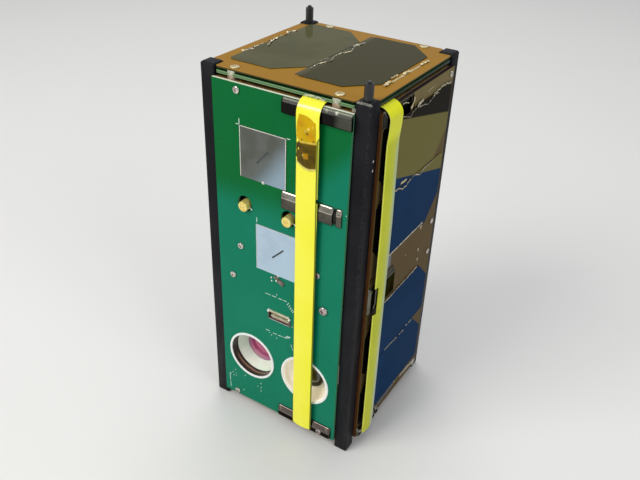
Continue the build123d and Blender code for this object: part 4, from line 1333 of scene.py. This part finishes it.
# Each row: path in the face's own a and b, width, height of the surface under it, wander, lift, finish.
foilRows = {
    "right": [
        ([(-12.2, 220.4), (-11.5, 218.4), (-13.0, 216.6), (-14.8, 214.9)], 1.7, panelFace + 1.7, 0.3, 0.5,
         "foilGold"),
        ([(-25.6, 220.7), (-22.8, 220.6), (-19.0, 219.3)], 0.6, panelFace + 2.0, 0.2, 0.4, "foil"),
        ([(2.2, 214.2), (-0.2, 213.2), (-4.8, 212.8)], 1.8, cellTop, 0.3, 0.7, "foil"),
        ([(-20.7, 212.3), (-11.1, 209.0), (-9.5, 210.7), (-5.2, 211.7)], 0.35, cellTop, 0.1, 0.3, "foil"),
        ([(-5.3, 212.0), (4.6, 210.6), (9.1, 209.3), (11.5, 210.7), (16.8, 212.2), (22.0, 211.9)], 0.5,
         cellTop, 0.2, 0.5, "foil"),
        ([(16.0, 212.5), (19.3, 213.4), (25.7, 214.3), (34.3, 213.4), (38.2, 213.2)], 1.0, panelFace + 0.2,
         0.4, 0.7, "foil"),
        ([(7.9, 216.2), (18.1, 217.5)], 0.35, panelFace, 0.3, 0.2, "foil"),
        ([(-21.7, 171.3), (-17.9, 171.4), (-11.8, 168.7), (-7.4, 169.0), (-4.3, 170.6), (2.6, 171.2),
          (9.2, 168.4), (14.9, 170.2), (26.2, 170.4)], 0.7, cellTop, 0.3, 0.6, "foil"),
        ([(-14.9, 172.9), (-8.2, 172.8)], 1.5, cellTop, 0.2, 0.6, "foil"),
        ([(-21.2, 130.4), (0.6, 130.7), (22.5, 131.0)], 1.1, panelFace + 0.35, 0.05, 0.25, "foil"),
        ([(-20.6, 98.3), (-12.8, 98.0), (-4.5, 98.5), (9.5, 98.5), (22.4, 99.3)], 0.8, cellTop, 0.1, 0.3,
         "foil"),
        ([(-13.1, 57.4), (-4.3, 56.6), (4.0, 55.7)], 0.6, cellTop, 0.15, 0.3, "foil"),
        ([(7.0, 55.7), (13.2, 55.5)], 0.7, cellTop, 0.15, 0.3, "foil"),
        ([(15.9, 56.8), (24.8, 56.2)], 0.6, cellTop, 0.15, 0.3, "foil"),
        ([(8.0, 13.5), (14.7, 13.7)], 0.7, panelFace, 0.1, 0.3, "foil"),
        ([(17.5, 12.1), (29.3, 11.4), (40.8, 9.9)], 3.0, panelFace, 0.15, 0.35, "foil"),
        ([(-13.9, 11.3), (-3.0, 12.4), (7.6, 12.9)], 3.0, panelFace, 0.1, 0.25, "blueTab"),
        ([(-18.4, 121.4), (-18.4, 129.4)], 4.4, panelFace, 0.05, 0.15, "blueTab"),
        ([(22.0, 126.9), (22.0, 129.3)], 1.7, panelFace, 0.05, 0.3, "foil"),
        ([(22.0, 111.0), (22.1, 113.3)], 1.4, panelFace, 0.05, 0.3, "foil"),
        ([(22.5, 103.6), (22.5, 106.1)], 1.4, panelFace, 0.05, 0.3, "foil"),
        ([(3.4, 117.6), (4.5, 118.0)], 0.8, panelFace, 0.05, 0.3, "foil"),
        ([(-39.9, 123.4), (-38.8, 125.6)], 1.8, panelFace, 0.2, 0.6, "foil"),
    ],
    "top": [
        ([(0.6, -24.2), (0.0, -16.2), (3.1, -8.1), (0.4, -1.4), (0.6, 4.8), (3.4, 12.1), (0.4, 20.1)], 0.7,
         lidCellTop, 0.15, 0.5, "foil"),
        ([(-1.4, -12.6), (-0.9, -5.4)], 0.5, lidCellTop, 0.1, 0.3, "foil"),
        ([(-2.5, 18.1), (-0.5, 24.1)], 0.5, lidCellTop, 0.2, 0.4, "foil"),
        ([(0.2, 18.6), (0.6, 24.4), (1.4, 29.6)], 2.0, lidCellTop, 0.2, 0.6, "foil"),
        ([(-43.3, -22.8), (-42.0, -16.4)], 2.0, lidTop, 0.3, 0.8, "foil"),
        ([(-43.5, -15.0), (-42.7, -4.1)], 0.6, lidTop, 0.3, 0.6, "foil"),
        ([(-37.7, -7.6), (-40.7, -1.4), (-41.9, 6.7)], 1.2, lidCellTop, 0.3, 0.8, "foil"),
        ([(-42.5, -0.8), (-42.3, 11.0), (-40.9, 18.2)], 0.6, 226.5, 0.3, 0.6, "foil"),
        ([(-43.6, 18.8), (-41.0, 25.7)], 1.7, lidTop + 0.1, 0.3, 0.8, "foil"),
        ([(42.3, -23.7), (42.6, 0.0), (43.0, 23.7)], 1.5, lidTop, 0.05, 0.2, "foilGold"),
        ([(42.2, -23.9), (42.1, -16.0)], 2.0, lidTop + 0.2, 0.3, 0.8, "foilGold"),
        ([(40.5, -12.7), (40.6, -6.1)], 1.0, lidCellTop, 0.2, 0.6, "foilGold"),
        ([(42.2, -3.3), (42.3, 3.5)], 1.6, lidTop + 0.2, 0.3, 0.8, "foilGold"),
        ([(42.7, 15.4), (43.0, 23.9)], 1.9, lidTop + 0.2, 0.3, 0.8, "foilGold"),
    ],
}
for side, rows in foilRows.items():
    for look in ("foil", "foilGold", "blueTab"):
        shapes = [ribbon(route, width, base, 11 * index + 3, wander, lift)
                  for index, (route, width, base, wander, lift, kind) in enumerate(rows) if kind == look]
        if shapes:
            piece("foil_" + side + "_" + look, onSide(joined(shapes), side), made[look],
                  sharp=25)

gap = plateShape(rectangle((-1.1, 3.5), (1.1, 78.0)), lidTop, lidTop + 0.2)
piece("lid_cell_gap", onSide(gap, "top"), made["cellGap"])
print("foils made:", sum(len(rows) for rows in foilRows.values()))


# Stage
stageLook = dict(floor=(0.74, 0.735, 0.72), reach=3000.0, backdrop=(0.86, 0.86, 0.85),
                 sky=(0.80, 0.82, 0.85), skyStrength=0.55)


# A pale matt floor, up to 3% darker in wide soft patches.
def floorFinish():
    material, tree, shader, place = blank("studioFloor")
    cloud = noise(tree, place, 220, 3)
    pale = tuple(value * 0.97 for value in stageLook["floor"])
    feed(tree, shader, {"Base Color": mixed(tree, cloud, stageLook["floor"], pale), "Roughness": 0.6,
                        "Normal": bump(tree, noise(tree, place, 1.0, 2), 0.02)})
    return material


# Sets an object at a place, with its own x, y and z along three directions.
def aim(obj, place, right, up, back):
    obj.matrix_world = Matrix.Translation(place) @ Matrix(tuple(zip(right, up, back))).to_4x4()


# The direction of a vector, as one of length 1.
def unit(vector):
    return vector / np.linalg.norm(vector)


reach = stageLook["reach"]
floorPoints = np.array([[(x, y, 0) for y in (-reach, reach)] for x in (-reach, reach)])
floor = piece("studio_floor", surface(floorPoints), floorFinish(), None)

# Lamps that face the middle of the object.
lampTarget = (0, 0, 0.12)
lamps = [
    dict(name="keyLamp", place=(-0.55, -1.10, 1.15), size=0.9, power=16.0, colour=(1.0, 0.98, 0.95)),
    dict(name="fillLamp", place=(1.30, -0.35, 0.85), size=0.8, power=6.0, colour=(0.94, 0.97, 1.0)),
    dict(name="topLamp", place=(-0.35, 0.75, 1.50), size=1.1, power=9.0, colour=(1.0, 0.99, 0.96)),
]
for look in lamps:
    light = bpy.data.lights.new(look["name"], "AREA")
    light.size = look["size"]
    light.energy = look["power"]
    light.color = look["colour"]
    lamp = bpy.data.objects.new(look["name"], light)
    bpy.context.scene.collection.objects.link(lamp)
    back = unit(np.array(look["place"]) - np.array(lampTarget))
    right = unit(np.cross((0, 0, 1), back))
    aim(lamp, look["place"], right, np.cross(back, right), back)

# The sky lights the object, and the camera sees a plain backdrop in its place.
world = bpy.data.worlds.new("studio")
bpy.context.scene.world = world
world.use_nodes = True
tree = world.node_tree
sky = tree.nodes["Background"]
feed(tree, sky, {"Color": (*stageLook["sky"], 1), "Strength": stageLook["skyStrength"]})
seen = addNode(tree, "Background", {"Color": (*stageLook["backdrop"], 1), "Strength": 1.0})
isSeen = addNode(tree, "LightPath").outputs["Is Camera Ray"]
choose = addNode(tree, "MixShader", {0: isSeen, 1: sky.outputs[0], 2: seen.outputs[0]})
feed(tree, tree.nodes["World Output"], {"Surface": choose.outputs[0]})

# The camera of the photo, with its angles in degrees.
cameraLook = dict(azimuth=31.091, elevation=32.493, roll=2.279, place=(0.187508, -0.318527, 0.346349),
                  lens=40.006)
azimuth, elevation, roll = (np.radians(cameraLook[key]) for key in ("azimuth", "elevation", "roll"))
level = np.cos(elevation)
back = np.array([np.sin(azimuth) * level, -np.cos(azimuth) * level, np.sin(elevation)])
flat = unit(np.cross(-back, (0, 0, 1)))
upright = np.cross(flat, -back)
right = np.cos(roll) * flat + np.sin(roll) * upright
up = -np.sin(roll) * flat + np.cos(roll) * upright
view = bpy.data.cameras.new("photoView")
view.lens = cameraLook["lens"]
view.sensor_width = 36.0
view.clip_start = 0.01
viewer = bpy.data.objects.new("photoView", view)
bpy.context.scene.collection.objects.link(viewer)
aim(viewer, cameraLook["place"], right, up, back)
bpy.context.scene.camera = viewer
bpy.context.scene.view_settings.view_transform = "Standard"
print("stage set")
